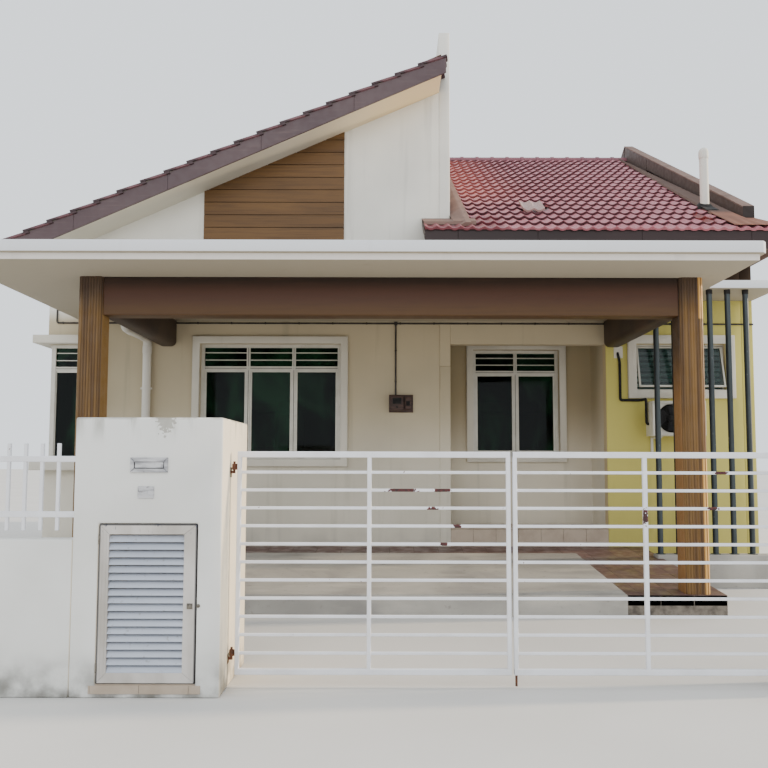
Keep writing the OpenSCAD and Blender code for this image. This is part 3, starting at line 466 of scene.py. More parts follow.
def concrete():
    """Trowelled concrete with broom lines along X, damp blotches and pale scuffs."""
    f = Finish("concrete", (178, 174, 166), 0.88, 0.3)
    f.patches((146, 143, 138), 0.35, 0.7, 1.0, 1.1, 6, (1, 1, 1), 0.5)
    f.patches((204, 198, 186), 0.5, 0.75, 0.5, 4, 6, (0.35, 1, 1))
    f.patches((112, 110, 106), 0.6, 0.78, 0.5, 16, 5)
    f.done((0.002, 26, 5, (0.15, 1, 1)), (0.0008, 190, 3))


plaster("wall_paint", (238, 235, 226), carport_shade=(198, 185, 157))
plaster("trim_paint", (218, 213, 200), dirt=0.15, splash=0.1, seed=0.3)
two_faced_paint("yellow_paint", (204, 186, 148), "yellow_paint")
two_faced_paint("party_paint", (216, 214, 206), "white_paint")
roof_tile("low_tile", "roof_tile", (166, 94, 104), (194, 132, 140), (124, 58, 68), sun_and_repair)
roof_tile("ridge_tile", "roof_tile", (126, 76, 86), (150, 102, 110), (94, 50, 60))
# the high roof has the low roof's tile, darker here as painted shade
roof_tile("high_tile", "dark_roof_tile", (104, 66, 72), (140, 100, 104), (76, 48, 54))
for make in (pier_paint, slab_paint, soffit_board, sheet_metal, flashing_sheet, column_paint, beam_paint,
             glass, pole_paint, bin_frame, gate_paint, concrete):
    make()
BOARD_GRIT = (0.0006, 90, 3, (0.2, 1, 1))
plain("plum_board", (92, 74, 76), 0.5, 0.4, ((74, 58, 62), 0.35, 0.7, 0.6, 1.7, 5, (0.5, 1, 1)),
      ((116, 96, 92), 0.55, 0.8, 0.4, 9, 5, (0.25, 1, 3)), sheen=(0.4, 0.6, 12, 3), grit=BOARD_GRIT)
plain("fascia_board", (52, 37, 37), 0.5, 0.35, ((40, 28, 28), 0.35, 0.7, 0.6, 1.7, 5, (0.5, 1, 1)),
      ((72, 58, 55), 0.55, 0.8, 0.4, 9, 5, (0.25, 1, 3)), slot="plum_board", grit=BOARD_GRIT)
plain("sheet_cap", (122, 100, 92), 0.7, 0.2, ((98, 79, 72), 0.4, 0.75, 1.0, 3.2, 5), slot="parapet_sheet",
      grit=(0.001, 6, 2))
plain("siding_wood", (108, 76, 38), 0.55, 0.4, ((72, 49, 24), 0.4, 0.66, 0.6, 34, 6, (0.05, 1, 1.6), 0.4),
      ((124, 90, 48), 0.4, 0.7, 0.4, 3, 3, (0.3, 1, 1)), tint=(92, 64, 32),
      grit=(0.001, 60, 5, (0.05, 1, 1.6)))
plain("side_beam_paint", (70, 54, 44), 0.55, 0.4, ((52, 42, 37), 0.35, 0.7, 1.0, 3, 5), slot="beam_paint",
      grit=(0.0008, 80, 4))
plain("window_alu", (214, 211, 200), 0.38, 0.5, ((168, 163, 150), 0.35, 0.7, 0.25, 6, 4),
      ((150, 144, 132), 0.6, 0.8, 0.4, 40, 3), metallic=0.15, sheen=(0.3, 0.5, 18, 3))
plain("clear_glass", (26, 46, 40), 0.06, 0.6, ((34, 58, 51), 0.35, 0.7, 1.0, 5, 3, (0.3, 1, 1)),
      slot="window_glass", alpha=0.42, grit=(0.0015, 1.4, 2))
# the tint is painted light on each slat's upper half; untinted strips are its painted shaded lower half
plain("blind_cloth", (62, 88, 84), 0.8, 0.2, ((70, 100, 96), 0.35, 0.7, 0.4, 8, 3, (0.2, 1, 1)),
      slot="window_glass", tint=(138, 168, 162), grit=(0.0004, 180, 2))
plain("fan_plastic", (46, 45, 48), 0.5, 0.4, ((30, 29, 32), 0.35, 0.7, 1.0, 14, 3), slot="black_foam",
      grit=(0.0003, 90, 2))
plain("pipe_plastic", (222, 219, 210), 0.6, 0.4, ((158, 150, 136), 0.4, 0.75, 0.3, 4, 4, (1, 1, 0.3)),
      grit=(0.0003, 90, 2))
plain("unit_shell", (220, 217, 205), 0.45, 0.45, ((164, 156, 138), 0.4, 0.75, 0.3, 5, 4),
      grit=(0.0003, 120, 2))
plain("black_foam", (26, 25, 25), 0.75, 0.3, ((42, 40, 39), 0.35, 0.7, 1.0, 22, 4), grit=(0.001, 140, 3))
plain("board_brown", (78, 54, 44), 0.5, 0.4, ((54, 38, 32), 0.38, 0.65, 1.0, 30, 5, (0.15, 1, 1.4), 0.5),
      grit=(0.0006, 70, 4, (0.15, 1, 1)))
plain("conduit_dark", (44, 40, 38), 0.5, 0.4, ((66, 60, 56), 0.35, 0.7, 1.0, 9, 3), grit=(0.0003, 90, 2))
plain("louvre_alu", (180, 186, 198), 0.4, 0.5, ((158, 163, 173), 0.35, 0.7, 0.4, 3, 4, (0.3, 1, 1)),
      ((126, 124, 120), 0.64, 0.74, 0.5, 30, 4), metallic=0.35, sheen=(0.32, 0.5, 30, 3, (0.1, 1, 1)))
plain("plate_steel", (202, 202, 204), 0.35, 0.5, ((150, 150, 154), 0.35, 0.7, 1.0, 40, 4, (0.2, 1, 1)),
      ((96, 94, 96), 0.6, 0.7, 0.6, 24, 4), metallic=0.7, sheen=(0.28, 0.5, 50, 3))
plain("latch_steel", (128, 122, 112), 0.5, 0.4, ((92, 87, 80), 0.35, 0.7, 1.0, 40, 4), metallic=0.5,
      slot="plate_steel", sheen=(0.4, 0.6, 50, 3))
plain("hook_plate", (122, 124, 108), 0.8, 0.3, ((104, 72, 54), 0.4, 0.6, 1.0, 34, 5), metallic=0.1,
      slot="rusty_steel", grit=(0.001, 140, 3))
plain("rusty_steel", (112, 72, 54), 0.85, 0.3, ((78, 56, 46), 0.35, 0.65, 1.0, 30, 5),
      ((150, 84, 48), 0.55, 0.7, 1.0, 55, 4), metallic=0.2, grit=(0.0015, 140, 4))
plain("floor_tile", (104, 78, 74), 0.42, 0.5, ((132, 116, 108), 0.42, 0.75, 0.4, 5, 5), tint=(88, 66, 64),
      sheen=(0.3, 0.6, 7, 4), grit=(0.0006, 60, 3))
plain("step_tile", (190, 174, 156), 0.45, 0.45, ((146, 128, 110), 0.42, 0.75, 0.4, 6, 5),
      tint=(172, 156, 138), sheen=(0.35, 0.6, 7, 4), grit=(0.0005, 60, 3))
plain("mortar", (132, 124, 114), 0.95, 0.2, ((88, 82, 76), 0.35, 0.7, 1.0, 12, 5), slot="concrete",
      grit=(0.001, 90, 3))
plain("floor_screed", (158, 154, 148), 0.8, 0.3, ((134, 130, 124), 0.35, 0.7, 1.0, 2, 6),
      grit=(0.001, 14, 4))
plain("door_wood", (122, 82, 54), 0.45, 0.45, ((84, 54, 36), 0.38, 0.66, 1.0, 26, 6, (1.2, 1.2, 0.07), 0.5),
      grit=(0.0008, 60, 5, (1, 1, 0.08)))
plain("studio_floor", (214, 212, 208), 0.9, 0.2, ((208, 206, 202), 0.3, 0.7, 1.0, 0.6, 3))


# SHAPES
def stay(point):
    return point


def circle(centre, across, other, radius, sides):
    angles = [math.tau * i / sides for i in range(sides)]
    return [centre + (across * math.cos(a) + other * math.sin(a)) * radius for a in angles]


def rounded(points, bend, steps=6):
    """The points with each inner corner replaced by an arc."""
    if bend <= 0 or len(points) < 3:
        return points
    path = [points[0]]
    for before, corner, after in zip(points, points[1:], points[2:]):
        back = (before - corner).normalized() * bend
        ahead = (after - corner).normalized() * bend
        path += [corner + back * (1 - i / steps) ** 2 + ahead * (i / steps) ** 2 for i in range(steps + 1)]
    return path + [points[-1]]


def band(start, end, low, high):
    """Outline between two heights over the line from one point to another."""
    return [(p[0], p[1] + rise) for p, rise in ((start, low), (end, low), (end, high), (start, high))]


def cut(lo, hi, count):
    """A length as this many equal ones."""
    return [(lo + (hi - lo) * i / count, lo + (hi - lo) * (i + 1) / count) for i in range(count)]


class Parts:
    """Collects closed bits of geometry for one joined mesh. Place maps each point into the house's frame."""

    def __init__(self, place=stay):
        self.verts = []
        self.faces = []
        self.shades = []
        self.courses = []
        self.place = place
        self.shade = 0.5

    def add(self, verts, faces):
        start = len(self.verts)
        self.verts += [tuple(self.place(Vector(v))) for v in verts]
        self.faces += [[start + i for i in face] for face in faces]
        self.shades += [self.shade] * len(verts)

    def box(self, lo, hi, c=0.003):
        """A box with its edges cut back by c."""
        c = min(c, *((b - a) * 0.45 for a, b in zip(lo, hi)))
        verts = [[(hi[i] if side[i] else lo[i]) + (i != flat) * (-c if side[i] else c) for i in range(3)]
                 for side in product((0, 1), repeat=3) for flat in range(3)]

        def corner(flat, *ends):
            """First vertex of the corner at these ends of the axes from flat on."""
            return 3 * sum(end << (2 - (flat + k) % 3) for k, end in enumerate(ends))

        faces = [[i * 3, i * 3 + 1, i * 3 + 2] for i in range(8)]
        for flat in range(3):
            one, other = (flat + 1) % 3, (flat + 2) % 3
            for end in (0, 1):
                faces.append([corner(flat, end, *ends) + flat for ends in ((0, 0), (1, 0), (1, 1), (0, 1))])
            for ends in product((0, 1), repeat=2):
                a, b = corner(flat, 0, *ends), corner(flat, 1, *ends)
                faces.append([a + one, a + other, b + other, b + one])
        self.add(verts, faces)

    def loft(self, verts, rings, sides):
        """Skin over rings of points, closed at both ends."""
        faces = [list(range(sides)), [(rings - 1) * sides + i for i in range(sides)]]
        for a in range(0, (rings - 1) * sides, sides):
            for i in range(sides):
                k = (i + 1) % sides
                faces.append([a + i, a + k, a + sides + k, a + sides + i])
        self.add(verts, faces)

    def prism(self, outline, start, end, axis=1, c=0.0):
        """An outline in the other two axes, run along an axis, with its end edges cut back by c."""
        first, second = (i for i in range(3) if i != axis)
        middle = Vector((sum(p[0] for p in outline), sum(p[1] for p in outline))) / len(outline)
        rings = [(start, c), (start + c, 0), (end - c, 0), (end, c)] if c else [(start, 0), (end, 0)]
        verts = []
        for along, inset in rings:
            for p in map(Vector, outline):
                point = [along] * 3
                point[first], point[second] = p + (middle - p).normalized() * inset * 1.3
                verts.append(point)
        self.loft(verts, len(rings), len(outline))

    def turned(self, start, direction, profile, sides=20):
        """Rings of (distance, radius) along a direction."""
        direction = Vector(direction).normalized()
        across = direction.orthogonal().normalized()
        other = direction.cross(across)
        verts = []
        for along, radius in profile:
            verts += circle(Vector(start) + direction * along, across, other, radius, sides)
        self.loft(verts, len(profile), sides)

    def tube(self, points, radius, bend=0.0, sides=12):
        """A round tube along points, its corners rounded to a bend radius."""
        path = rounded([Vector(p) for p in points], bend)
        verts = []
        across = None
        for i, point in enumerate(path):
            ahead = (path[min(i + 1, len(path) - 1)] - path[max(i - 1, 0)]).normalized()
            across = ahead.orthogonal() if across is None else across - ahead * across.dot(ahead)
            across.normalize()
            verts += circle(point, across, ahead.cross(across), radius, sides)
        self.loft(verts, len(path), sides)

    def panel(self, top, columns, rows, thickness):
        """A bent sheet: top(u, v) gives its upper side for u and v from 0 to 1."""
        upper = [Vector(top(i / columns, j / rows)) for j in range(rows + 1) for i in range(columns + 1)]
        w, n = columns + 1, len(upper)
        faces = []
        for a in (j * w + i for j in range(rows) for i in range(columns)):
            faces += [[a, a + 1, a + w + 1, a + w], [n + a, n + a + w, n + a + w + 1, n + a + 1]]
        rim = list(range(w)) + [j * w + columns for j in range(1, rows + 1)]
        rim += [rows * w + i for i in range(columns - 1, -1, -1)] + [j * w for j in range(rows - 1, 0, -1)]
        faces += [[a, n + a, n + b, b] for a, b in zip(rim, rim[1:] + rim[:1])]
        self.add(upper + [p - thickness for p in upper], faces)

    def collar(self, start, direction, length, radius, swell, lip, sides, closed=True):
        """A short sleeve that swells from one radius to another over a lip, at the far end only if closed."""
        profile = [(0, radius), (lip, swell), (length - lip, swell), (length, radius)]
        self.turned(start, direction, profile if closed else [*profile[:2], (length, swell)], sides)

    def mitred(self, x, z, stiles, rail, gap, near, far, c):
        """A ring of four mitred bars, left, right, bottom and top, with a hairline between them."""
        (x0, x1), (z0, z1) = x, z
        for at, width in ((x0, stiles[0]), (x1, -stiles[1])):
            self.prism([(at, z0 + gap), (at + width, z0 + rail + gap), (at + width, z1 - rail - gap),
                        (at, z1 - gap)], near, far, c=c)
        for at, width in ((z0, rail), (z1, -rail)):
            self.prism([(x0 + gap, at), (x1 - gap, at), (x1 - stiles[1] - gap, at + width),
                        (x0 + stiles[0] + gap, at + width)], near, far, c=c)


def dressed(mesh, look, body, angle, node):
    """A mesh as a smooth piece that rides on a body, and stands for a CAD node where one is named."""
    mesh.shade_smooth()
    mesh.set_sharp_from_angle(angle=math.radians(angle))
    mesh.materials.append(LOOKS[look])
    piece = link(mesh.name, mesh)
    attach(piece, body)
    if node:
        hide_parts(node)


def finished(name, parts, look, node=None, body="house", smooth=35):
    """The joined mesh as a piece, with each point's shade and course stored on it."""
    mesh = bpy.data.meshes.new(name)
    mesh.from_pydata(parts.verts, [], parts.faces)
    for key, values in (("shade", parts.shades), ("course", parts.courses)):
        if values:
            mesh.attributes.new(key, "FLOAT", "POINT").data.foreach_set("value", values)
    work = bmesh.new()
    work.from_mesh(mesh)
    bmesh.ops.recalc_face_normals(work, faces=work.faces)
    work.to_mesh(mesh)
    work.free()
    dressed(mesh, look, body, smooth, node)


def softened(node, look, width=0.008):
    """A CAD node's own shape with its sharp edges eased, standing for that node."""
    source = frame["nodes"][node]
    mesh = bpy.data.meshes.new(node + "_eased")
    work = bmesh.new()
    work.from_mesh(source.data)
    bmesh.ops.remove_doubles(work, verts=work.verts, dist=1e-5)
    bmesh.ops.dissolve_limit(work, angle_limit=math.radians(1), verts=work.verts, edges=work.edges)
    sharp = [e for e in work.edges if len(e.link_faces) == 2 and e.calc_face_angle(0) > math.radians(30)]
    bmesh.ops.bevel(work, geom=sharp, offset=width, segments=2, profile=0.5, affect="EDGES",
                    clamp_overlap=True)
    bmesh.ops.triangulate(work, faces=[f for f in work.faces if len(f.verts) > 4])
    work.to_mesh(mesh)
    work.free()
    dressed(mesh, look, source["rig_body"], 30, node)


# WALLS
for node in ("front_wall", "left_wall", "back_wall", "fin_piers", "recess_walls", "recess_lintel"):
    softened(node, "wall_paint")
softened("party_wall", "party_paint")
softened("fin_wall", "wall_paint")
softened("yellow_wall", "yellow_paint")
for node, look in (("floor_slab", "floor_screed"), ("eave_soffits", "soffit_board"),
                   ("carport_floor", "concrete"), ("gate_hooks", "rusty_steel")):
    data = frame["nodes"][node].data
    data.materials.clear()
    data.materials.append(LOOKS[look])


# ROOF TILES
TILE_T = 0.026
TILE_LAP = 0.07
TILE_LIFT = 0.036
WAVE_H = 0.014
WAVE_STEPS = 7
WAVE_SHARPNESS = 0.45
NOSE_EASE = 0.004
COURSES = 20
TILE_SHARE = 0.994
SLIP_TIP_SKEW = (0.0025, 0.0012, 0.004)


class Slope:
    """A plane of roof tiles from its lower left corner, seen from outside. Rise is its climb per metre."""

    def __init__(self, corner, across, inward, rise, width, run, columns):
        self.corner = Vector(corner)
        self.columns = columns
        self.tile_w = width / columns
        self.across = Vector(across).normalized()
        self.up = (Vector(inward) + Z * rise).normalized()
        self.out = self.across.cross(self.up)
        self.width = width
        self.length = run * math.sqrt(1 + rise * rise)
        self.gauge = self.length / COURSES

    def at(self, u, s, h=0.0):
        return self.corner + self.across * u + self.up * s + self.out * h


def wave(turns):
    """Height of the roof tile's roll: a wide trough between narrower crests."""
    angle = math.tau * turns
    return WAVE_H * np.cos(angle + WAVE_SHARPNESS * np.sin(angle))


def tile_field(name, slope, look, node, keep, seed):
    """Closed tiles of two rolls each, lapped course over course, each with its own small slip and shade."""
    chance = np.random.default_rng(seed)
    places = [(i, k) for k in range(COURSES) for i in range(slope.columns) if keep(i, k)]
    tile_w = slope.tile_w
    tile_l = slope.gauge + TILE_LAP
    steps = 2 * WAVE_STEPS
    u = np.linspace(0, tile_w, steps + 1)[:, None]
    along = np.array([0.0, 0.0, NOSE_EASE, tile_l, tile_l])[None, :]
    level = TILE_LIFT * (1 - along / tile_l) - np.array([TILE_T, NOSE_EASE, 0.0, 0.0, TILE_T])[None, :]
    across, up, out = np.array(slope.across), np.array(slope.up), np.array(slope.out)
    verts, shades = [], []
    for i, k in places:
        slip, tip, skew = chance.normal(0, SLIP_TIP_SKEW)
        uu = (u * TILE_SHARE + tile_w * i) + 0 * along
        ss = along + k * slope.gauge + slip + skew * (u / tile_w - 0.5)
        hh = wave(u * 2 / tile_w) + level + tip
        points = np.array(slope.corner) + uu[..., None] * across + ss[..., None] * up + hh[..., None] * out
        verts.append(points.reshape(-1, 3))
        shades.append(chance.uniform(0, 1))
    ring = 5
    faces = [list(range(ring - 1, -1, -1)), [steps * ring + r for r in range(ring)]]
    for c, r in product(range(steps), range(ring)):
        a, b = c * ring + r, c * ring + (r + 1) % ring
        faces.append([a, b, b + ring, a + ring])
    size = (steps + 1) * ring
    parts = Parts()
    parts.verts = np.concatenate(verts).tolist()
    parts.faces = [[v + t * size for v in face] for t in range(len(places)) for face in faces]
    parts.shades = np.repeat(shades, size).tolist()
    # course is -1 on the noses above the first course, which get painted shade, and runs 0 to 1 up each tile
    ends = [[-float(k > 0)] * 2 + [0.0, 1.0, 1.0] for i, k in places]
    parts.courses = [value for end in ends for value in end * (steps + 1)]
    finished(name, parts, look, node, smooth=40)


# Faces of the walls and roof planes of the tiles' battens, seen from outside
wall_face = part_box("front_wall")[0].y
back_wall_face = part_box("back_wall")[1].y
left_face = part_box("left_wall")[0].x
fin_left, fin_right = (corner.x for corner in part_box("fin_wall"))
party_in, party_out = (corner.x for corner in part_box("roof_parapet"))
party_front, party_back = (corner.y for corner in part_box("roof_parapet"))
ridge_y = (wall_face + back_wall_face) / 2
eave_lo, eave_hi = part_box("low_fascias")
verge_lo, verge_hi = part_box("high_fascia")
NOSE_OUT = 0.02
DECK_IN = NOSE_OUT + 0.03
LOW_EAVE_Z = 4.232
LOW_RISE = 0.5528
HIGH_RISE = 0.4385
HIGH_TOP = 6.634
LOW_RUN = ridge_y - (eave_lo.y - NOSE_OUT)
LOW_SLOPE = math.sqrt(1 + LOW_RISE ** 2)
low_front = Slope((eave_lo.x, eave_lo.y - NOSE_OUT, LOW_EAVE_Z), X, Y, LOW_RISE, party_out - eave_lo.x,
                  LOW_RUN, 15)
low_back = Slope((party_out, eave_hi.y + NOSE_OUT, LOW_EAVE_Z), -X, -Y, LOW_RISE, party_out - fin_right,
                 LOW_RUN, 14)
high_x = verge_lo.x - NOSE_OUT
HIGH_SINK = (TILE_LIFT + WAVE_H) * math.sqrt(1 + HIGH_RISE ** 2)
high = Slope((high_x, verge_hi.y + NOSE_OUT, HIGH_TOP + HIGH_RISE * high_x - HIGH_SINK), -Y, X, HIGH_RISE,
             verge_hi.y - verge_lo.y + 2 * NOSE_OUT, fin_left - high_x, 36)
SLIPPED_TILE = (5, 4)
STRIP_FOOT = (-0.70, 4.41)
STRIP_HEAD_Z = 4.647


def on_street(p):
    return (p.x, wall_face + p.y, p.z)


def on_side(p):
    return (left_face + p.y, p.x, p.z)


def on_back(p):
    return (p.x, back_wall_face - p.y, p.z)


def high_at(x, depth=0.0):
    """A point of the high roof's plane, or one straight under it."""
    return (x, HIGH_TOP + HIGH_RISE * x - depth)


def make_decks():
    """Boards and battens under the tiles, so that the roof is closed where a tile is slipped."""
    parts = Parts()
    sunk = WAVE_H + TILE_T + 0.006
    drop = LOW_EAVE_Z + LOW_RISE * DECK_IN - sunk
    top = LOW_EAVE_Z + LOW_RISE * LOW_RUN - sunk
    outer = low_front.corner.y + DECK_IN
    for y in (outer, low_back.corner.y - DECK_IN):
        parts.prism([(y, drop), (ridge_y, top), (ridge_y, top - 0.06), (y, drop - 0.12)],
                    fin_right, party_in, axis=0)
    reach = wall_face - outer
    foot = drop + LOW_RISE * (STRIP_FOOT[0] - outer)
    parts.prism([(outer, drop), (STRIP_FOOT[0], foot), (wall_face, STRIP_HEAD_Z - 0.02),
                 (wall_face, STRIP_HEAD_Z - 0.1), (outer, drop - 0.1)], eave_lo.x + 0.002, fin_right, axis=0)
    for y, way in ((outer, 1), (eave_hi.y - DECK_IN, -1)):
        parts.prism(band((y, drop), (y + way * reach, drop + LOW_RISE * reach), -0.1, 0),
                    party_in, party_out - 0.002, axis=0)
    parts.prism(band(high_at(high_x + DECK_IN), high_at(fin_left), -0.119, 0.002 - HIGH_SINK - sunk),
                verge_lo.y + 0.026, verge_hi.y - 0.026)
    finished("roof_decks", parts, "board_brown", smooth=30)


def make_slipped_tile():
    """One grey replacement tile that has slid down and stands proud of its neighbours."""
    i, k = SLIPPED_TILE
    parts = Parts()
    parts.shade = 2.0

    def top(u, v):
        height = TILE_LIFT * (2.0 + 0.7 * v) + float(wave(2 * u))
        along = (k - 0.95) * low_front.gauge + v * 0.40
        return low_front.at((i + u) * low_front.tile_w - 0.11, along, height)

    parts.panel(top, 2 * WAVE_STEPS, 2, low_front.out * TILE_T)
    finished("slipped_roof_tile", parts, "low_tile", smooth=40)


def make_ridge():
    """Half-round ridge caps, each with a collar over the next, on a mortar bed coloured black as painted
    shade under the caps.
    """
    cap_r = 0.115
    cap_h = 0.085
    centre = LOW_EAVE_Z + LOW_RISE * LOW_RUN + 0.059 - cap_h
    caps, bed = Parts(), Parts()
    chance = np.random.default_rng(14)

    def arc(grow):
        return [(ridge_y + (cap_r + grow) * math.cos(a), centre + (cap_h + grow) * math.sin(a))
                for a in np.linspace(-0.15, math.pi + 0.15, 15)]

    for x0, x1 in cut(fin_right, party_in, 13):
        caps.shade = float(chance.uniform(0, 0.8))
        for start, end, grow in ((x0 + 0.002, x1 + 0.02, 0.0), (x0, x0 + 0.055, 0.012)):
            ring_cap(caps, arc(grow) + arc(-0.016), start, min(end, party_in))
    finished("ridge_caps", caps, "ridge_tile", smooth=45)
    # black bed: painted shade under the caps
    bed.box((fin_right, ridge_y - 0.085, centre - 0.07), (party_in, ridge_y + 0.085, centre + cap_h - 0.03),
            0.01)
    finished("ridge_shade_bed", bed, "black_foam")


def ring_cap(parts, arcs, start, end):
    """A bent strip between two arcs of as many points, run along X."""
    n = len(arcs) // 2
    faces = [[0, 2 * n, 3 * n, n], [n - 1, 2 * n - 1, 4 * n - 1, 3 * n - 1]]
    for i in range(n - 1):
        faces += [[i, i + 1, 2 * n + i + 1, 2 * n + i], [n + i, 3 * n + i, 3 * n + i + 1, n + i + 1],
                  [i, n + i, n + i + 1, i + 1], [2 * n + i, 2 * n + i + 1, 3 * n + i + 1, 3 * n + i]]
    parts.add([(x, *p) for x in (start, end) for p in arcs], faces)


# FLASHINGS
FLASH_T = 0.004
JAG_PITCH = 0.1427
TRAY_W = 0.13
TRAY_LOW = -0.01
FLASH_LEVEL = TILE_LIFT + WAVE_H + 0.006
BASE_FLASH_W = (0.42, 0.15)


def tray(away):
    """Height of a flashing at a distance from its wall: low beside it, and over the rolls farther out."""
    return TRAY_LOW + (FLASH_LEVEL - TRAY_LOW) * min(1.0, max(0.0, away) / TRAY_W)


def flashing(parts, slope, wall_u, way, widths, s0, s1):
    """Smooth sheet laid up a slope beside a wall, with its free edge folded down on the tiles."""

    def top(u, v):
        away = u * (widths[0] + (widths[1] - widths[0]) * v)
        folded = 0.02 if u > 0.99 else 0.0
        return slope.at(wall_u + way * away, s0 + v * (s1 - s0), tray(away) - folded)

    parts.panel(top, 16, 12, slope.out * FLASH_T)


def make_flashings():
    parts = Parts()
    start_u = fin_right - low_front.corner.x
    end_u = party_in - low_front.corner.x
    end_s = (party_front - low_front.corner.y) * LOW_SLOPE
    by_wall = 2 * low_front.tile_w + 0.01 - start_u
    at_back = low_back.tile_w + 0.01
    gauge, length = low_front.gauge, low_front.length
    flashing(parts, low_front, start_u, 1, (by_wall, by_wall), gauge * 0.55, length - 0.05)

    def turned_down(u, v):
        return low_front.at(start_u + u * by_wall, gauge * 0.55 + 0.001, tray(u * by_wall) - 0.045 * v)

    parts.panel(turned_down, 8, 1, Y * 0.003)
    flashing(parts, low_front, end_u, -1, BASE_FLASH_W, end_s - 0.02, length - 0.04)
    flashing(parts, low_back, 0.15, 1, (at_back, at_back), gauge * 0.9, length - 0.04)
    flashing(parts, low_back, low_back.width, -1, (at_back, at_back), gauge * 0.9, length - 0.05)
    make_apron_flashings(parts, end_u, end_s)
    make_upstands(parts)
    finished("roof_flashings", parts, "flashing_sheet", smooth=30)


def make_apron_flashings(parts, end_u, end_s):
    """Level pieces in front of the spine wall and round the parapet's end, over the first course."""
    first = low_front.gauge
    y, z = STRIP_FOOT
    x, end_x = eave_lo.x - 0.004, fin_right + 0.27
    parts.prism(band((y, z), (wall_face, STRIP_HEAD_Z), -0.006, 0), x, fin_right, axis=0)
    parts.box((x, y - 0.004, z - 0.042), (fin_right, y + 0.002, z), 0.001)
    parts.box((fin_right - 0.01, y - 0.008, z - 0.042), (end_x, y - 0.002, z + 0.004), 0.001)
    parts.prism([(y, z - 0.004), (y, z), (y + 0.1, z + 0.07), (y + 0.1, z + 0.06)],
                fin_right - 0.01, end_x, axis=0)
    start = end_u - BASE_FLASH_W[0]

    def fan(u, v):
        across = start + u * (low_front.width - start)
        jag = math.sin(math.tau * across / JAG_PITCH)
        s = first * 0.2 - 0.02 * jag
        s += v * (end_s + 0.03 - s)
        level = FLASH_LEVEL + 0.004 + 0.005 * jag
        return low_front.at(across, s, level * (1 - v) + tray(end_u - across) * v)

    parts.panel(fan, 40, 8, low_front.out * 0.006)
    far_s = (low_back.corner.y - party_back) * LOW_SLOPE + 0.1
    reach = (low_back.corner.y - back_wall_face) * LOW_SLOPE
    s0 = first * 0.8
    for u0, width, s1, columns, rows in ((0, 0.43, far_s, 16, 6),
                                         (low_back.width - 0.28, 0.28, reach, 10, 4)):
        parts.panel(lambda u, v: low_back.at(u0 + u * width, s0 + v * (s1 - s0), FLASH_LEVEL + 0.006),
                    columns, rows, low_back.out * 0.006)


def make_upstands(parts):
    """Sheet turned up against the spine wall on both sides of it."""
    for slope, wall_end in ((low_front, wall_face + 0.002), (low_back, back_wall_face - 0.002)):
        a, b = slope.at(0, slope.gauge * 0.75), slope.at(0, slope.length - 0.03)
        if (wall_end - a.y) * (b.y - a.y) > 0:
            a += (b - a) * ((wall_end - a.y) / (b.y - a.y))
        parts.prism(band(a.yz, b.yz, TRAY_LOW - 0.01, 0.165), fin_right, fin_right + 0.005, axis=0)
    x, top = high_at(fin_left)
    parts.box((x - 0.005, wall_face + 0.01, top - 0.02), (x, back_wall_face - 0.01, top + 0.14), 0.001)
    parts.prism([high_at(x - 0.22, -0.012), (x, top + 0.012), (x, top + 0.006), high_at(x - 0.22, -0.004)],
                verge_lo.y + 0.03, verge_hi.y - 0.03)


def make_parapet():
    """The party parapet's sheet cladding, in seamed lengths with a folded cap."""
    end_z = 4.7758
    (x0, y0, _), (x1, y1, z1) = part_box("roof_parapet")
    rise = (z1 - end_z) / (ridge_y - y0)
    sides, caps = Parts(), Parts()
    for start, way in ((y0, 1), (y1, -1)):
        for i, (a, b) in enumerate(cut(start, ridge_y, 4)):
            top_a, top_b = (z1 - rise * abs(y - ridge_y) for y in (a, b))
            sides.prism(band((a, top_a), (b, top_b), -0.34, -0.004), x0 - 0.0015 * (i % 2), x1 - 0.001,
                        axis=0)
            seam = 0.006 * way
            caps.prism(band((a + seam * 0.3, top_a), (b - seam * 0.3, top_b), -0.022, 0), x0 - 0.007,
                       x1 - 0.001, axis=0, c=0.002)
            sides.prism(band((b - seam, top_b), (b + seam, top_b), -0.335, -0.012), x0 - 0.005, x0 + 0.01,
                        axis=0)
    finished("parapet_sides", sides, "parapet_sheet", "roof_parapet", smooth=25)
    finished("parapet_cap", caps, "sheet_cap", smooth=25)


# BOARDS UNDER THE ROOF EDGES
BOARD_GAP = 0.0025
BOARD_T = 0.025
BOARD_DEPTH = 0.262
VERGE_DROP = 0.045
FASCIA_JOINTS = (0.10, 1.055, 2.30, 3.61)
LOW_FASCIA_TOP = 4.238


